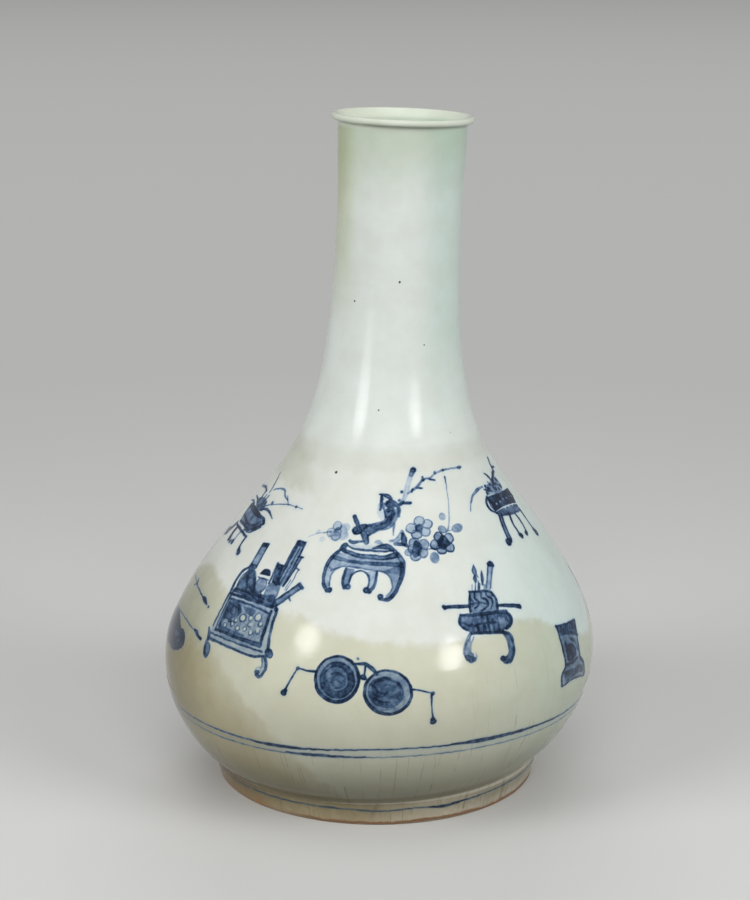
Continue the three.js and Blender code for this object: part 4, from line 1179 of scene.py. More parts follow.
motifs["teapotOnStove"] = {"around": 254, "height": 106, "strokes": [
    wash(0.3, 0.36, -9, 12, -10.6, 5, -6, 1, 6, 1, 10.6, 5, 9, 12, 4, 14.6, -4, 14.6),
    wash(0, 0.44, 2, 12, 8, 9, 8.6, 4.6, 2, 2),
    line((1.2, 1.6, 1.4, 1.6, 1.2), 0.84, -4, 14.8, -9.4, 12, -10.8, 5.4, -6, 0.8, 6, 0.8, 10.8, 5.4,
        9.4, 12, 4, 14.8),
    line((1.2, 1.6, 1.2), 0.84, -5, 14.8, 0, 15.8, 5, 14.8), dot(1.6, 0.88, 0, 17.6),
    line((2.6, 1.9, 1.3), 0.78, 9.6, 6, 14, 8.4, 17.4, 14),
    line((1.3, 1.7, 1.3), 0.84, -6.6, 14.4, -7.6, 22, 0, 26, 7.6, 22, 6.6, 14.4),
    dot(0.8, 0.66, -5.4, 8, -1.8, 9.6, 1.8, 9.6, -3.4, 4.8, 0.6, 5.6),
    pane(0.3, 0.46, -12, -1, -10.6, -14, 10.6, -14, 12, -1),
    line((1.7, 2, 1.7), 0.88, -13, -0.4, 0, -1, 13, -0.4),
    line((1.6, 2, 1.6), 0.86, -12, -14.4, 0, -15, 12, -14.4),
    wash(0.2, 0.8, -5, -11.6, -4.6, -6, 0, -4, 4.6, -6, 5, -11.6),
    line((0.5, 1.2, 0.5), 0.24, 17.6, 15, 20, 19, 18, 23),
] + mirrored([
    line((1.6, 1.2, 1.5), 0.84, -12, -1, -11.4, -8, -11, -14),
    line((1.8, 1.5, 2), 0.84, -9.4, -15, -11, -18.6, -9.4, -21.4), dot(1.4, 0.88, -8.8, -21.6),
])}

motifs["hangingChime"] = {"around": 122, "height": 84, "strokes": [
    ring((2, 2, 0.9, 0, 0), 0.8, 0, 19), line((0.8, 0.7), 0.76, 0, 17, 0, 9),
    line((0.7, 1.2, 0.7), 0.74, -4, 14, 0, 15.6, 4, 14),
    wash(0.35, 0.44, -16, 2, -13, 6.6, 0, 9.4, 13, 6.6, 16, 2, 10.6, 0, 0, 3.4, -10.6, 0),
    line((1.2, 1.6, 1.9, 1.6, 1.2), 0.84, -16.6, 2, -12, 7.2, 0, 9.8, 12, 7.2, 16.6, 2),
    line((1.4, 1.2, 1.4), 0.82, -16.4, 1.8, -10.4, -0.4, 0, 3.4, 10.4, -0.4, 16.4, 1.8),
    dot(1.2, 0.8, -9, 4, 0, 6.2, 9, 4), line((0.7, 1, 0.7), 0.7, 0, 3, -0.6, -4, 0, -8),
    ring((3.4, 2.6, 1, 0, 0.3), 0.78, 0, -5.4),
] + tassel(-14.6, 0.4, 12) + tassel(14.6, 0.4, 12) + tassel(0, -9, 11, 0.76)}

motifs["fanAndFlute"] = {"around": 180, "height": 84, "strokes": paperRoll((-24, -10), (23, 11), 3.4,
    0.8) + [
    dot(0.75, 0.9, -12, -4.8, -7, -2.6, 10, 5, 14, 6.8, 18, 8.6),
    wash(0.3, 0.32, -3, -6, -14, 8, -9, 14.6, 0, 16.8, 9, 14.6, 14, 8, 3, -6),
    line((1.2, 1.7, 1.2, 1.7, 1.2), 0.84, -14.4, 8, -9, 14.8, 0, 17, 9, 14.8, 14.4, 8),
    line((0.8, 1.2, 0.8), 0.66, -9.6, 4.4, -5.6, 9.4, 0, 10.8, 5.6, 9.4, 9.6, 4.4),
    line((0.6, 0.5), 0.56, -1.6, -4, -7.6, 12.6), line((0.6, 0.5), 0.56, -0.6, -4, -2.6, 15.6),
    line((0.6, 0.5), 0.56, 0.8, -4, 3.4, 15.4), line((0.6, 0.5), 0.56, 1.8, -4, 8.4, 12),
    line((2.6, 1.8, 2.2), 0.84, 0, -5, 0.3, -11, 0, -16), dot(1.5, 0.88, 0, -16.8),
] + mirrored([
    line((1.1, 1.5, 1.2), 0.82, -2.6, -6.4, -8, 0.4, -14, 8),
]) + tassel(-0.6, -17.6, 8, 0.66) + tassel(-25, -11, 8, 0.62)}

motifs["doubleGourd"] = {"around": 230, "height": 80, "strokes": [
    wash(0.3, 0.32, 0, -12.6, -8.6, -10, -10.4, -4, -7.4, 1.4, -3, 3.6, 3, 3.6, 7.4, 1.4, 10.4, -4,
        8.6, -10),
    wash(0, 0.46, 2, 1, 7.6, -2, 8.4, -7, 3.4, -11, 1, -7),
    wash(0.3, 0.4, -3, 3.6, -6.2, 7.6, -5, 12.4, 0, 14, 5, 12.4, 6.2, 7.6, 3, 3.6),
    line((1.3, 1.7, 2, 1.7, 1.3), 0.84, -3.2, 3.8, -8.6, 0.6, -10.4, -5, -6.4, -11.4, 0, -13, 6.4, -11.4,
        10.4, -5, 8.6, 0.6, 3.2, 3.8),
    line((1.2, 1.5, 1.3, 1.5, 1.2), 0.84, -3, 4, -6.4, 8, -4, 13, 0, 14.4, 4, 13, 6.4, 8, 3, 4),
    line((2, 1.4, 1), 0.88, 0, 14, 0.6, 17.4, 2.6, 20),
    line((1.8, 2.2, 1.8), 0.86, -4.4, 3.4, 0, 2.6, 4.4, 3.4),
    line((1, 1.4, 1.2, 0.8), 0.74, 4, 3, 11, 6, 17, 3.4, 21, 8),
    line((1, 1.4, 1.2, 0.8), 0.74, -4, 3, -11, 7, -17, 4, -22, 7.6),
    line((0.8, 1, 0.6), 0.66, 3.4, 2.4, 12, 0, 16, -6, 20, -7),
    line((0.7, 0.9, 0.6), 0.56, -4, -3, 0, -5.4, 5, -4),
    wash(0.3, 0.5, 2.6, 19.6, 7, 22.4, 12, 20.6, 7.6, 18),
] + tassel(21, 7.6, 8, 0.6) + tassel(-22, 7.4, 9, 0.62)}


# The lines that run all round. low and high: heights that their skin lies between; folds: rows of the map
ribbons = {
    "bellyLines": {
        "low": 42, "high": 57, "columns": 1840, "folds": 8,
        "strokes": [  # widths, ink, (angle, height)
            ((1.2, 0.9, 1.3, 1.0, 1.2, 0.9, 1.1, 1.3, 1.0, 1.1), 0.7,
             [(-180, 51.2), (-130, 50.6), (-90, 49.4), (-53, 50.2), (-24, 50.2), (0, 52.1), (20, 51.7),
              (39, 51.1), (56, 49.2), (90, 49.6), (135, 50.8), (180, 51.2)]),
            ((0.8, 0.6, 0.9, 0.6, 0.8), 0.5,
             [(-180, 46.8), (-120, 46.4), (-60, 46.2), (-24, 46.6), (0, 47.4), (30, 47), (60, 45.6),
              (120, 46.2), (180, 46.8)]),
            ((5.0, 4.6, 5.2, 4.8), 0.09,
             [(-180, 49), (-100, 48.4), (-40, 48.4), (0, 49.8), (50, 48.2), (120, 48.8), (180, 49)]),
            ((0.5, 2.0, 1.8, 0.8), 0.86, [(-34, 50.1), (-26, 50.1), (-19, 50.5), (-12, 51.2)]),
            ((0.5, 2.3, 2.1, 1.5, 0.7), 0.95, [(17, 51.9), (24, 51.6), (33, 51.2), (44, 50.4), (56, 49.4)]),
            ((0.5, 1.6, 1.5, 0.6), 0.82, [(-24, 47.3), (-17, 47.6), (-10, 47.8), (-3, 47.7)]),
            ((0.6, 1.7, 1.4, 0.6), 0.74, [(118, 50.3), (131, 50.7), (146, 51), (158, 51.1)]),
            ((0.5, 1.5, 0.6), 0.6, [(-150, 51), (-138, 50.8), (-124, 50.5)]),
        ],
    },
    "footLine": {
        "low": 4.6, "high": 12.4, "columns": 1500, "folds": 8,
        "strokes": [
            ((1.2, 0.9, 1.3, 0.9, 1.2), 0.52,
             [(-180, 8.8), (-120, 9.2), (-60, 9.8), (-26.5, 9.6), (-11.8, 9.4), (3.7, 8.4), (15, 9),
              (22.5, 7.8), (29.8, 8.4), (70, 9), (120, 8.6), (180, 8.8)]),
            ((0.5, 1.7, 1.5, 0.5), 0.72, [(18, 8.6), (24, 7.9), (30, 8.4), (38, 8.8)]),
            ((0.5, 1.3, 0.6), 0.6, [(-150, 9.2), (-138, 9.3), (-125, 9.2)]),
        ],
    },
}


def paintRibbon(name, ribbon, radiusAt, seed):
    # Strokes drawn on the unrolled ring, across = angle times radius
    columns, low, high = ribbon["columns"], ribbon["low"], ribbon["high"]
    radius = float(radiusAt(np.float64((low + high) / 2)))
    turn = 2 * math.pi * radius
    rows = int((high - low) / (turn / columns)) + 1
    across, up = np.meshgrid((np.arange(columns) / columns - 0.5) * turn, np.linspace(low, high, rows))
    strokes = []
    for widths, ink, points in ribbon["strokes"]:
        unrolled = [(math.radians(angle) * radius, height) for angle, height in points]
        strokes.append(line(widths + widths[:1], ink, *unrolled))
    density = inkDensity(across, up, {"strokes": strokes}, seed)
    kept = np.ones(density.shape, bool)
    kept[-1] = False
    piece = paintSkin(name, across / radius, up, radiusAt(up), density, kept, ribbon["folds"], True)
    return piece


painted = [paintMotif(name, motif, 10 * i + 1) for i, (name, motif) in enumerate(motifs.items())]
painted.append(paintRibbon("bellyLines", ribbons["bellyLines"], glazeRadius, 301))
painted.append(paintRibbon("footLine", ribbons["footLine"], footWallRadius, 311))
print("motifs painted:", {piece.name: len(piece.data.polygons) for piece in painted})


class Flow:
    # A value or colour in a material's nodes. Sums, products and so on of Flows add the Math nodes for them.
    def __init__(self, tree, socket=None):
        self.tree = tree
        self.socket = socket

    def node(self, kind, settings=None, sockets=None, out=0):
        # Adds a node: its settings first, then the values or links of its sockets
        made = self.tree.nodes.new(kind)
        for name, value in (settings or {}).items():
            if name == "stops":
                while len(made.color_ramp.elements) < len(value):
                    made.color_ramp.elements.new(0.5)
                for element, (place, colour) in zip(made.color_ramp.elements, value):
                    element.position = place
                    element.color = (*colour, 1)
            else:
                setattr(made, name, value)
        for key, value in (sockets or {}).items():
            if isinstance(value, Flow):
                self.tree.links.new(value.socket, made.inputs[key])
            elif value is not None:
                made.inputs[key].default_value = value
        return Flow(self.tree, made.outputs[out])

    def math(self, operation, *values):
        return self.node("ShaderNodeMath", {"operation": operation}, dict(enumerate(values)))

    def vector(self, operation, *values, out=0):
        return self.node("ShaderNodeVectorMath", {"operation": operation}, dict(enumerate(values)), out)

    def __add__(self, other):
        return self.math("ADD", self, other)

    def __radd__(self, other):
        return self.math("ADD", other, self)

    def __sub__(self, other):
        return self.math("SUBTRACT", self, other)

    def __rsub__(self, other):
        return self.math("SUBTRACT", other, self)

    def __mul__(self, other):
        return self.math("MULTIPLY", self, other)

    def __rmul__(self, other):
        return self.math("MULTIPLY", other, self)

    def __truediv__(self, other):
        return self.math("DIVIDE", self, other)

    def __rtruediv__(self, other):
        return self.math("DIVIDE", other, self)

    def __neg__(self):
        return self.math("MULTIPLY", self, -1.0)

    def upTo(self, low, high):
        # 0 below low, 1 above high, smooth between; low may be the greater
        return self.node("ShaderNodeMapRange", {"interpolation_type": "SMOOTHSTEP"},
                         {0: self, 1: low, 2: high, 3: 0.0, 4: 1.0})

    def most(self, other):
        return self.math("MAXIMUM", self, other)

    def least(self, other):
        return self.math("MINIMUM", self, other)

    def blend(self, kind, share, low, high):
        low, high = [(*c, 1.0) if isinstance(c, tuple) else c for c in (low, high)]
        return self.node("ShaderNodeMix", {"data_type": "RGBA", "blend_type": kind},
                         {0: share, 6: low, 7: high}, 2)

    def mixed(self, low, high):
        # Colour low where this is 0, high where it is 1
        return self.blend("MIX", self, low, high)

    def times(self, colour):
        # This colour multiplied by another
        return self.blend("MULTIPLY", 1.0, self, colour)

    def axis(self, which):
        # x, y or z of this vector, by 0, 1 or 2
        return self.node("ShaderNodeSeparateXYZ", {}, {0: self}, which)


# Colours are linear. Places are (x, y, z) in millimetres. A shade multiplies the colour under it.
glaze = {
    "cool": (0.74, 0.795, 0.75), "shoulder": (0.71, 0.74, 0.685), "ivory": (0.615, 0.62, 0.49),
    "leftIvory": (0.50, 0.515, 0.41), "brown": (0.44, 0.40, 0.25), "tideLine": (0.47, 0.42, 0.28),
    # leftShade, rightShade, neckShade and neckLeftShade are painted shade: the edges of the belly and neck
    # darker as the light fell on them.
    "leftShade": (0.54, 0.52, 0.44), "rightShade": (0.86, 0.945, 0.96), "neckShade": (0.86, 0.95, 0.93),
    "lipShade": (1.0, 0.975, 0.925), "mouthShade": (0.80, 0.84, 0.75), "neckRoot": (0.93, 0.92, 0.90),
    # The colour that darkens the glaze toward the foot is partly a real stain and partly painted shade.
    "footwardStainAndShade": (0.545, 0.525, 0.41), "neckLeftShade": (0.83, 0.84, 0.71), "rootStain": (0.86, 0.855, 0.80),
    "oldWater": (0.86, 0.88, 0.70), "oldWaterAt": (-35, 1, 328), "oldWaterReach": 49,
    "mottle": ((0.97, 0.965, 0.95), (1.025, 1.025, 1.03)),
    "neckRootHeight": 181, "stainTop": 103, "stainEdge": 2.6,
    "stainLobes": [     # place, reach and how far the stain's edge rises there
        ((-97, -32, 112), 62, 19), ((-52, -88, 112), 34, 9), ((-27, -100, 108), 32, 6),
        ((18, -103, 102), 22, -3), ((66, -82, 100), 18, 3), ((108, -34, 88), 56, -19),
        ((62, 84, 104), 60, 14), ((-24, 104, 100), 50, -12), ((-84, 60, 108), 50, 16)],
    "specks": [         # angle, height and radius of iron spots
        (2, 269.3, 0.55), (-39.8, 258, 0.5), (25.3, 237.3, 0.4), (-10, 205.1, 0.45), (-31, 174.2, 0.75),
        (-6.3, 96.2, 0.5), (-118, 331, 0.6), (128, 251, 0.6), (-152, 150, 0.8), (136, 118, 0.7)],
    "dustCell": 9.0,        # distance between the specks of iron dust
    "ironColour": (0.045, 0.035, 0.025),
    "crackColour": (0.20, 0.165, 0.11),
    "crack": {"cell": 7.0, "stretch": 45.0, "width": 0.19, "waver": 0.9},
    "unrolled": 95.0,       # radius that the bottle is unrolled at for its cracks
    "peel": 0.014, "ripple": 0.05, "ringDepth": 0.0025, "pitDepth": 0.06,     # of the surface, in millimetres
    "ringTurns": 2.4,       # how fast the throwing rings follow each other
    "roughness": (0.10, 0.14),
    "underInk": (0.68, 0.74, 0.735),    # the glaze under the ink is hardly stained
    "ink": [            # density, and what the ink multiplies the glaze by
        (0.0, (1, 1, 1)), (0.12, (0.80, 0.865, 0.955)), (0.25, (0.56, 0.66, 0.845)),
        (0.45, (0.225, 0.32, 0.5)), (0.65, (0.072, 0.136, 0.266)), (0.85, (0.018, 0.046, 0.112)),
        (1.0, (0.003, 0.013, 0.041))],
}
footLook = {
    # The pale line along the foot's top edge is a painted highlight, where the edge catches the light.
    "glaze": (0.40, 0.36, 0.25), "glazeLow": (0.60, 0.53, 0.41), "seamHighlight": (0.62, 0.58, 0.46),
    # midShade, leftShade and rightShade are painted shade across the foot.
    "midShade": (0.73, 0.68, 0.54), "leftShade": (0.68, 0.57, 0.46), "rightShade": (0.79, 0.81, 0.81),
    "underInk": (0.42, 0.42, 0.35), "rust": (0.42, 0.16, 0.03), "rustAt": (-57, -55, 2.5), "rustReach": 12,
    "burnt": (0.28, 0.16, 0.085), "bare": (0.33, 0.26, 0.18),
    "crack": {"cell": 7.0, "stretch": 45.0, "width": 0.22, "waver": 0.9},
    "glazeEnd": 1.8,        # height where the glaze stops over the bare rim
    "peel": 0.02, "ripple": 0.05, "bareDepth": 0.08, "claySand": 0.1,
    "roughness": (0.14, 0.24), "bareRoughness": 0.8,
}
baseLook = {
    "glaze": (0.60, 0.60, 0.49), "thin": (0.48, 0.45, 0.33), "grit": (0.07, 0.05, 0.035),
    "burnt": (0.42, 0.25, 0.13),
    "crack": {"cell": 11, "stretch": 6.0, "width": 0.2, "waver": 6.0},
    "bareFrom": 66,         # radius past which the clay is bare beside the foot
    "gritCell": 5.5,
    "peel": 0.06, "ripple": 0.1, "gritHeight": 0.15, "bareDepth": 0.12,
    "roughness": (0.14, 0.3),
}


def startFinish(name):
    # A material, its Principled shader, and Object coordinates in millimetres
    material = bpy.data.materials.new(name)
    material.use_nodes = True
    tree = material.node_tree
    shader = tree.nodes["Principled BSDF"]
    shader.inputs["IOR"].default_value = 1.45
    place = Flow(tree).node("ShaderNodeTexCoord", out=3)
    at = place.node("ShaderNodeVectorMath", {"operation": "SCALE"}, {0: place, "Scale": 1 / mm})
    return material, shader, at


def feed(shader, **links):
    # Links Flows to the shader's sockets; the sockets' names are written together here
    names = {"baseColor": "Base Color", "roughness": "Roughness", "normal": "Normal"}
    for key, flow in links.items():
        flow.tree.links.new(flow.socket, shader.inputs[names[key]])


def noise(at, size, detail=2.0, roughness=0.5):
    # Soft random field from about 0 to 1, with features of this size in millimetres
    return at.node("ShaderNodeTexNoise", {},
                   {"Vector": at, "Scale": 1 / size, "Detail": detail, "Roughness": roughness})


def centred(at, size, detail=2.0, roughness=0.5):
    # The same field about 0
    return noise(at, size, detail, roughness) - 0.5


def uneven(field, ends, low=0.3, high=0.72):
    # A value that wanders between two ends as a random field does
    return field.upTo(low, high) * (ends[1] - ends[0]) + ends[0]


def bump(at, height):
    # A normal from a height in millimetres
    return at.node("ShaderNodeBump", {}, {"Strength": 1.0, "Distance": mm, "Height": height})


def shaded(colour, look, masks):
    # The colour times each named shade of a look, where the shade's mask is 1
    for name, mask in masks.items():
        colour = mask.mixed((1, 1, 1), look[name]).times(colour)
    return colour


def swell(at, place, reach):
    # 1 at a place, falling smoothly to 0 at its reach
    return at.vector("DISTANCE", at, place, out=1).upTo(reach, 0.0)


def ringLevel(at):
    # Height of the ring that a point lies on: z plus x times the tilt's tangent, which grows with the height
    (lowTilt, low), (highTilt, high) = form["tilt"][1:]
    lowSlope, highSlope = math.tan(math.radians(lowTilt)), math.tan(math.radians(highTilt))
    growth = (highSlope - lowSlope) / (high - low)
    x, z = at.axis(0), at.axis(2)
    return z + x * (z * growth + (lowSlope - low * growth))


def cracks(at, cell, stretch, width, waver):
    # Fine upright cracks: edges of random cells on the unrolled bottle, stretched upright, a little wavering
    x, y, z = [at.axis(i) for i in range(3)]
    around = x.math("ARCTAN2", x, -y) * glaze["unrolled"]
    unrolled = at.node("ShaderNodeCombineXYZ", {}, {0: around, 1: z / stretch})
    wander = at.node("ShaderNodeTexNoise", {}, {"Vector": at, "Scale": 0.07, "Detail": 2.0}, 1)
    bent = at.vector("MULTIPLY_ADD", wander, (waver, waver, 0.0), unrolled)
    gap = at.node("ShaderNodeTexVoronoi", {"voronoi_dimensions": "2D", "feature": "DISTANCE_TO_EDGE"},
                  {"Vector": bent, "Scale": 1 / cell})
    return gap.upTo(width / cell, 0.0)


def stainAndShadeColour(at):
    # Cool white above; ivory below an uneven tide line; brown at the lower left; darker toward the foot,
    # partly as a stain and partly as painted shade; painted shade at the edges of the belly and neck.
    # Returns the colour, the height of the ring, and 1 where the glaze is stained.
    x, z, level = at.axis(0), at.axis(2), ringLevel(at)
    broad, small = centred(at, 34, 3, 0.55), centred(at, 8, 3, 0.6)
    rise = broad * 15 + small * 7
    for place, reach, height in glaze["stainLobes"]:
        rise = rise + swell(at, place, reach) * height
    tide = (level - rise - glaze["stainTop"]) / glaze["stainEdge"]
    stained = tide.upTo(1.0, -1.0)
    ivory = (x + broad * 30).upTo(-60, -108).mixed(glaze["ivory"], glaze["leftIvory"])
    corner = x + z + broad * 26 + small * 14
    low = (level + broad * 16 + small * 10).upTo(98, 80)
    brown = (corner.upTo(4, -3) * 0.4 + corner.upTo(4, -27) * 0.58) * low
    ivory = brown.mixed(ivory, glaze["brown"])
    shoulder = (level + broad * 20).upTo(196, 172) * (1.0 - x.upTo(20, 70) * 0.7)
    colour = stained.mixed(shoulder.mixed(glaze["cool"], glaze["shoulder"]), ivory)
    tideLine = stained * (1.0 - stained) * 4.0
    colour = (tideLine * 0.10).mixed(colour, glaze["tideLine"])
    lip = z.upTo(343.5, 346.5)
    root = level + small * 5 - glaze["neckRootHeight"]
    streaked = level + small * 14
    oldWater = swell(at, glaze["oldWaterAt"], glaze["oldWaterReach"]) + small * 0.3
    # Painted shade: the left and right edges of the belly and both edges of the neck are darker as the light
    # fell; the darkening toward the foot is partly a real stain and partly painted shade.
    colour = shaded(colour, glaze, {
        "rightShade": x.upTo(32, 100),
        "leftShade": (x + small * 8).upTo(-78, -112),
        "mouthShade": (level + broad * 22).upTo(304, 343) * (1.0 - lip * 0.5),
        "oldWater": oldWater * (1.0 - lip * 0.85),
        "neckShade": x.upTo(18, 32) * level.upTo(190, 250) * (1.0 - lip),
        "neckLeftShade": (x + small * 4).upTo(-10, -20) * level.upTo(238, 286) * (1.0 - lip),
        "lipShade": lip,
        "neckRoot": root.math("ABSOLUTE", root).upTo(8, 2),
        "rootStain": streaked.upTo(190, 178) * streaked.upTo(160, 168) * (x + broad * 40).upTo(-26, -46),
        # darker toward the foot: partly a real stain, partly painted shade
        "footwardStainAndShade": (level + small * 4).upTo(50, 9),
    })
    return colour.times(noise(at, 14, 4, 0.6).upTo(0.3, 0.7).mixed(*glaze["mottle"])), level, stained


def glazeColour(at):
    # The stained glaze with its painted shade, cracks and iron spots; returns the colour and the spots' mask
    colour, level, stained = stainAndShadeColour(at)
    low = level.upTo(60, 34).most(at.axis(0).upTo(40, 62) * level.upTo(96, 80) * 0.7)
    patchy = noise(at, 11, 2).upTo(0.46, 0.62) * 0.55 + 0.06
    fine = cracks(at, **glaze["crack"]) * patchy * stained * low
    colour = fine.mixed(colour, glaze["crackColour"])
    dust, pick = [at.node("ShaderNodeTexVoronoi", {}, {"Vector": at, "Scale": 1 / glaze["dustCell"]}, out)
                  for out in (0, 1)]
    spots = dust.upTo(0.045, 0.015) * pick.axis(0).upTo(0.84, 0.88) * 0.75
    for around, height, radius in glaze["specks"]:
        place = ringPlace(np.float64(math.radians(around)), np.float64(height), glazeRadius(height)) / mm
        ragged = at.vector("DISTANCE", at, tuple(place), out=1) + centred(at, 0.9, 1) * radius
        spots = spots.most(ragged.upTo(radius + 0.2, radius - 0.25))
    return spots.mixed(colour, glaze["ironColour"]), spots


def glazeBump(at, spots):
    # Orange peel, fine throwing rings and pits at the iron spots, in millimetres
    phase = ringLevel(at) * glaze["ringTurns"] + noise(at, 30, 2) * 9
    rings = phase.math("SINE", phase)
    peel = centred(at, 2.4, 2) * glaze["peel"] + centred(at, 9, 2) * glaze["ripple"]
    return bump(at, peel + rings * glaze["ringDepth"] - spots * glaze["pitDepth"])


def inked(colour, at, under):
    # The glaze's colour darkened by the ink under it, a little grainy
    ink = at.node("ShaderNodeAttribute", {"attribute_name": "paint"}, out=2)
    colour = (ink.upTo(0.0, 0.7) * 0.7).mixed(colour, under)
    grain = centred(at, 0.55, 2) * 0.42 + centred(at, 1.6, 2) * 0.3 + 1.0
    return colour.times(at.node("ShaderNodeValToRGB", {"stops": glaze["ink"]}, {0: ink * grain}))


def bodyGlaze(name, painted=False):
    # Glaze of the body, the neck and the lip
    material, shader, at = startFinish(name)
    colour, spots = glazeColour(at)
    if painted:
        colour = inked(colour, at, glaze["underInk"])
    rough = uneven(noise(at, 16, 3), glaze["roughness"])
    feed(shader, baseColor=colour, roughness=rough, normal=glazeBump(at, spots))
    return material


def footGlaze(name, painted=False):
    # Thin stained glaze with painted shade across it, a painted highlight line where the body starts, and a
    # rim burnt where the glaze stops
    material, shader, at = startFinish(name)
    x, z, small = at.axis(0), at.axis(2), centred(at, 5, 3, 0.6)
    streaks = noise(at.vector("MULTIPLY", at, (1.0, 1.0, 0.2)), 4, 2).upTo(0.35, 0.7)
    colour = ((z + small * 9).upTo(9, 2) * 0.8 + streaks * 0.2).mixed(footLook["glaze"], footLook["glazeLow"])
    # Painted shade: the middle, left and right of the foot are darker as the light fell on it.
    colour = shaded(colour, footLook, {
        "midShade": (x + small * 30).upTo(28, -14),
        "leftShade": (x + small * 30).upTo(-40, -74),
        "rightShade": (x + small * 8).upTo(35, 55),
    })
    # A painted highlight: a pale line along the foot's top edge
    colour = (z + small * 0.8).upTo(12.1, 12.9).mixed(colour, footLook["seamHighlight"])
    fine = cracks(at, **footLook["crack"]) * (noise(at, 11, 2).upTo(0.42, 0.58) * 0.6 + 0.1)
    colour = fine.mixed(colour, glaze["crackColour"])
    ragged = z + small * 2.6 + centred(at, 24, 1) * 3.2
    glazeEnd = footLook["glazeEnd"]
    burnt = ragged.upTo(glazeEnd + 1.0, glazeEnd) * (x.upTo(-48, -30) * 0.65 + 0.35)
    rust = (swell(at, footLook["rustAt"], footLook["rustReach"]) + small * 0.5).upTo(0.2, 0.7)
    colour = (rust * 0.85).mixed(colour, footLook["rust"])
    bare = ragged.upTo(glazeEnd - 0.5, glazeEnd - 1.4)
    colour = bare.mixed(burnt.mixed(colour, footLook["burnt"]), footLook["bare"])
    if painted:
        colour = inked(colour, at, footLook["underInk"])
    glossy = uneven(noise(at, 10, 3), footLook["roughness"])
    rough = (burnt * footLook["bareRoughness"] + glossy).least(footLook["bareRoughness"])
    height = centred(at, 2.4, 2) * footLook["peel"] + centred(at, 9, 2) * footLook["ripple"]
    height = height - bare * footLook["bareDepth"] - bare * noise(at, 0.4, 2) * footLook["claySand"]
    feed(shader, baseColor=colour, roughness=rough, normal=bump(at, height))
    return material


def baseGlaze(name):
    # Uneven glaze with kiln grit; bare and burnt beside the foot
    material, shader, at = startFinish(name)
    patchy = noise(at, 18, 4, 0.6)
    away = at.vector("LENGTH", at.vector("MULTIPLY", at, (1.0, 1.0, 0.0)), out=1) + centred(at, 12, 3) * 14
    bare = away.upTo(baseLook["bareFrom"] - 1, baseLook["bareFrom"] + 1)
    colour = patchy.upTo(0.36, 0.66).mixed(baseLook["thin"], baseLook["glaze"])
    colour = (cracks(at, **baseLook["crack"]) * 0.4).mixed(colour, glaze["crackColour"])
    cells = at.node("ShaderNodeTexVoronoi", {}, {"Vector": at, "Scale": 1 / baseLook["gritCell"]})
    grit = (cells + centred(at, 1.2, 2) * 0.14).upTo(0.13, 0.07) * noise(at, 26, 2).upTo(0.48, 0.6)
    colour = grit.mixed(bare.mixed(colour, baseLook["burnt"]), baseLook["grit"])
    height = centred(at, 3, 2) * baseLook["peel"] + (patchy - 0.5) * baseLook["ripple"]
    height = height + grit * baseLook["gritHeight"] - bare * baseLook["bareDepth"]
    rough = uneven(patchy, baseLook["roughness"], high=0.7) + bare * 0.5
    feed(shader, baseColor=colour, roughness=rough, normal=bump(at, height))
    return material


bodyFinish = bodyGlaze("bottleGlaze")
paintedFinish = bodyGlaze("paintedGlaze", True)
footFinish = footGlaze("footGlaze")
paintedFootFinish = footGlaze("paintedFootGlaze", True)
baseFinish = baseGlaze("baseGlaze")
for node, (piece, slot) in sections.items():
    piece.data.materials.append({"foot_glaze": footFinish, "base_glaze": baseFinish}.get(slot, bodyFinish))
for piece in painted:
    piece.data.materials.append(paintedFootFinish if piece.name == "footLine" else paintedFinish)
print("finishes made:", len(bpy.data.materials))


# Camera, floor and lamps, in metres and degrees
setting = {
    "camera": (-0.0016, -1.1052, 0.4524), "cameraPitch": 75.893, "cameraYaw": 0.05, "cameraRoll": 0.215,
    "lens": 86.908, "film": 36,
    "floorRadius": 15, "floorCorners": 96, "floorPale": (0.64, 0.64, 0.63), "floorShade": (0.13, 0.13, 0.125),
    "floorFade": (0.25, 1.1), "backPale": (0.45, 0.45, 0.445), "backFade": (1.5, 13),
    "worldPale": (0.33, 0.33, 0.327), "worldShade": (0.05, 0.05, 0.052),
    "glintLayers": (0.6, 0.9, 1.25),      # a glint is three lamps of these sizes, so that its edge is soft
}
# Name: place, aimed at, size, radiance, half the angle that it spreads over, and whether it lights matt
# surfaces; if not, it only shows in the gloss
lamps = {
    "leftBellyGlint": ((-0.207, -0.245, 0.266), (-0.047, -0.097, 0.101), (0.062, 0.046), 31.0, 22, False),
    "rightBellyGlint": ((0.246, -0.352, 0.277), (0.026, -0.106, 0.096), (0.08, 0.085), 35.0, 17, False),
    "leftNeckGlint": ((-0.220, -0.24, 0.278), (-0.02, -0.036, 0.20), (0.085, 0.085), 19.0, 20, False),
    "rightNeckGlint": ((0.238, -0.354, 0.297), (0.012, -0.036, 0.187), (0.12, 0.11), 20.0, 15, False),
    "leftLipGlint": ((-0.345, -0.36, 0.45), (-0.001, -0.035, 0.348), (0.10, 0.1), 4.0, 14, False),
    "rightLipGlint": ((0.395, -0.32, 0.45), (0.023, -0.033, 0.348), (0.12, 0.1), 4.5, 14, False),
    "frontSoftbox": ((0.1, -1.7, 1.25), (0, 0, 0.17), (1.5, 1.1), 2.85, 90, True),
    "topSoftbox": ((-0.1, -0.2, 1.8), (0, 0, 0.1), (1.3, 1.3), 1.0, 90, True),
    "leftSoftbox": ((-1.5, -0.9, 0.9), (0, 0, 0.17), (0.9, 1.2), 5.8, 90, True),
    "rightSoftbox": ((1.5, -0.9, 0.9), (0, 0, 0.17), (0.9, 1.2), 5.7, 90, True),
    "backSoftbox": ((0, 1.9, 1.1), (0, 0, 0.17), (1.5, 1.1), 3.4, 90, True),
}


def aimed(place, target):
    # Matrix that puts an object at place with its -Z toward target
    turn = (Vector(target) - Vector(place)).to_track_quat("-Z", "Y")
    return Matrix.Translation(place) @ turn.to_matrix().to_4x4()


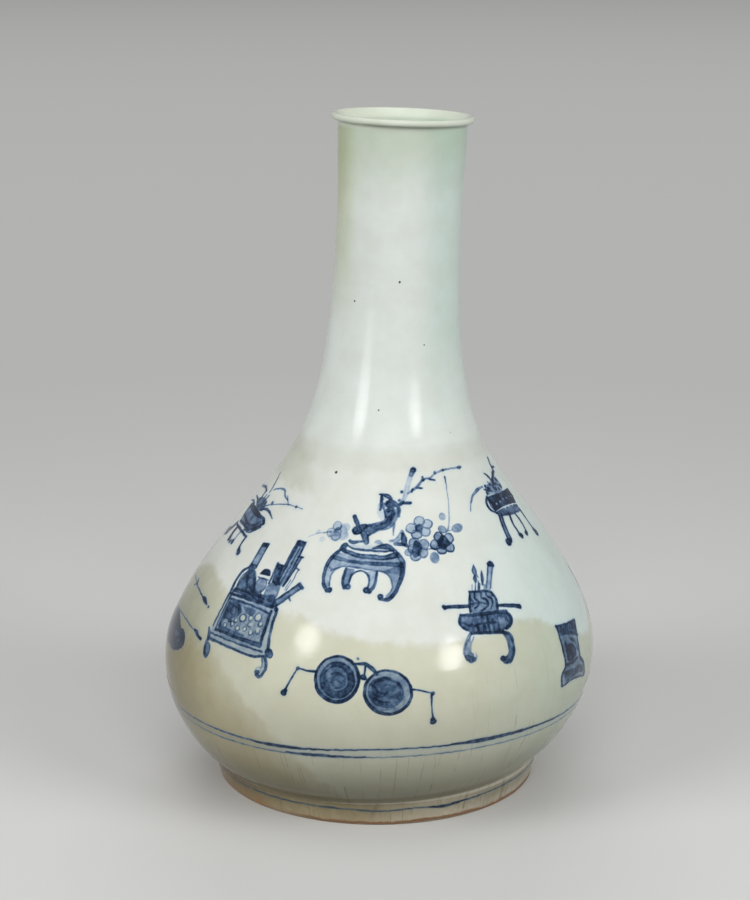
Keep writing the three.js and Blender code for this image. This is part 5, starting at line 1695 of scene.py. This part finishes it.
def makeCamera():
    view = bpy.data.cameras.new("camera")
    view.lens = setting["lens"]
    view.sensor_fit = "VERTICAL"
    view.sensor_height = setting["film"]
    view.clip_end = 60
    camera = bpy.data.objects.new("camera", view)
    bpy.context.scene.collection.objects.link(camera)
    camera.matrix_world = (Matrix.Translation(setting["camera"])
                           @ Matrix.Rotation(math.radians(setting["cameraYaw"]), 4, "Z")
                           @ Matrix.Rotation(math.radians(setting["cameraPitch"]), 4, "X")
                           @ Matrix.Rotation(math.radians(setting["cameraRoll"]), 4, "Z"))
    bpy.context.scene.camera = camera


def makeLamps():
    # A lamp's power is radiance times area times pi; a narrow spread h makes it tan h / (tan h - h) as bright
    for name, (place, target, size, radiance, spread, matt) in lamps.items():
        half = math.radians(spread)
        gathered = 1 if spread == 90 else math.tan(half) / (math.tan(half) - half)
        layers = (1,) if matt else setting["glintLayers"]
        for i, layer in enumerate(layers):
            light = bpy.data.lights.new(name, "AREA")
            light.shape = "RECTANGLE" if matt else "ELLIPSE"
            light.size, light.size_y = size[0] * layer, size[1] * layer
            light.spread = 2 * half
            area = light.size * light.size_y * (1 if matt else math.pi / 4)
            light.energy = radiance * area * math.pi / gathered / len(layers)
            lamp = bpy.data.objects.new(f"{name}{i}", light)
            bpy.context.scene.collection.objects.link(lamp)
            lamp.matrix_world = aimed(place, target)
            lamp.visible_camera = False
            lamp.visible_diffuse = matt
            lamp.visible_glossy = not matt


def seenDirectly(start):
    # 1 for what the camera sees, straight or in a reflection or through glass, 0 for the light it sends on
    rays = [start.node("ShaderNodeLightPath", out=i) for i in (0, 3, 7)]
    return rays[0].most(rays[1]).most(rays[2])


def makeFloor():
    # A flat disc, shaded where it is near and evenly pale far away
    around = np.linspace(0, 2 * math.pi, setting["floorCorners"], endpoint=False)
    rim = np.stack([np.cos(around), np.sin(around), 0 * around], 1) * setting["floorRadius"]
    mesh = bpy.data.meshes.new("floor")
    mesh.from_pydata(rim.tolist(), [], [list(range(len(rim)))])
    material = bpy.data.materials.new("paleFloor")
    material.use_nodes = True
    tree = material.node_tree
    tree.nodes.clear()
    start = Flow(tree)
    pale = start.node("ShaderNodeBsdfDiffuse", {}, {0: (*setting["floorPale"], 1)})
    shade = start.node("ShaderNodeBsdfDiffuse", {}, {0: (*setting["floorShade"], 1)})
    away = start.vector("LENGTH", start.node("ShaderNodeNewGeometry"), out=1)
    backdrop = away.upTo(*setting["backFade"]).mixed(setting["backPale"], setting["worldPale"])
    even = start.node("ShaderNodeEmission", {}, {0: backdrop})
    pale = start.node("ShaderNodeMixShader", {}, {0: away.upTo(*setting["floorFade"]), 1: pale, 2: even})
    surface = start.node("ShaderNodeMixShader", {}, {0: seenDirectly(start), 1: shade, 2: pale})
    output = tree.nodes.new("ShaderNodeOutputMaterial")
    tree.links.new(surface.socket, output.inputs[0])
    mesh.materials.append(material)
    floor = bpy.data.objects.new("floor", mesh)
    bpy.context.scene.collection.objects.link(floor)


def makeWorld():
    world = bpy.data.worlds.new("studio")
    bpy.context.scene.world = world
    world.use_nodes = True
    start = Flow(world.node_tree)
    sky = seenDirectly(start).mixed(setting["worldShade"], setting["worldPale"])
    world.node_tree.links.new(sky.socket, world.node_tree.nodes["Background"].inputs["Color"])


makeCamera()
makeLamps()
makeFloor()
makeWorld()
bpy.context.scene.view_settings.view_transform = "Standard"
print("stage set")
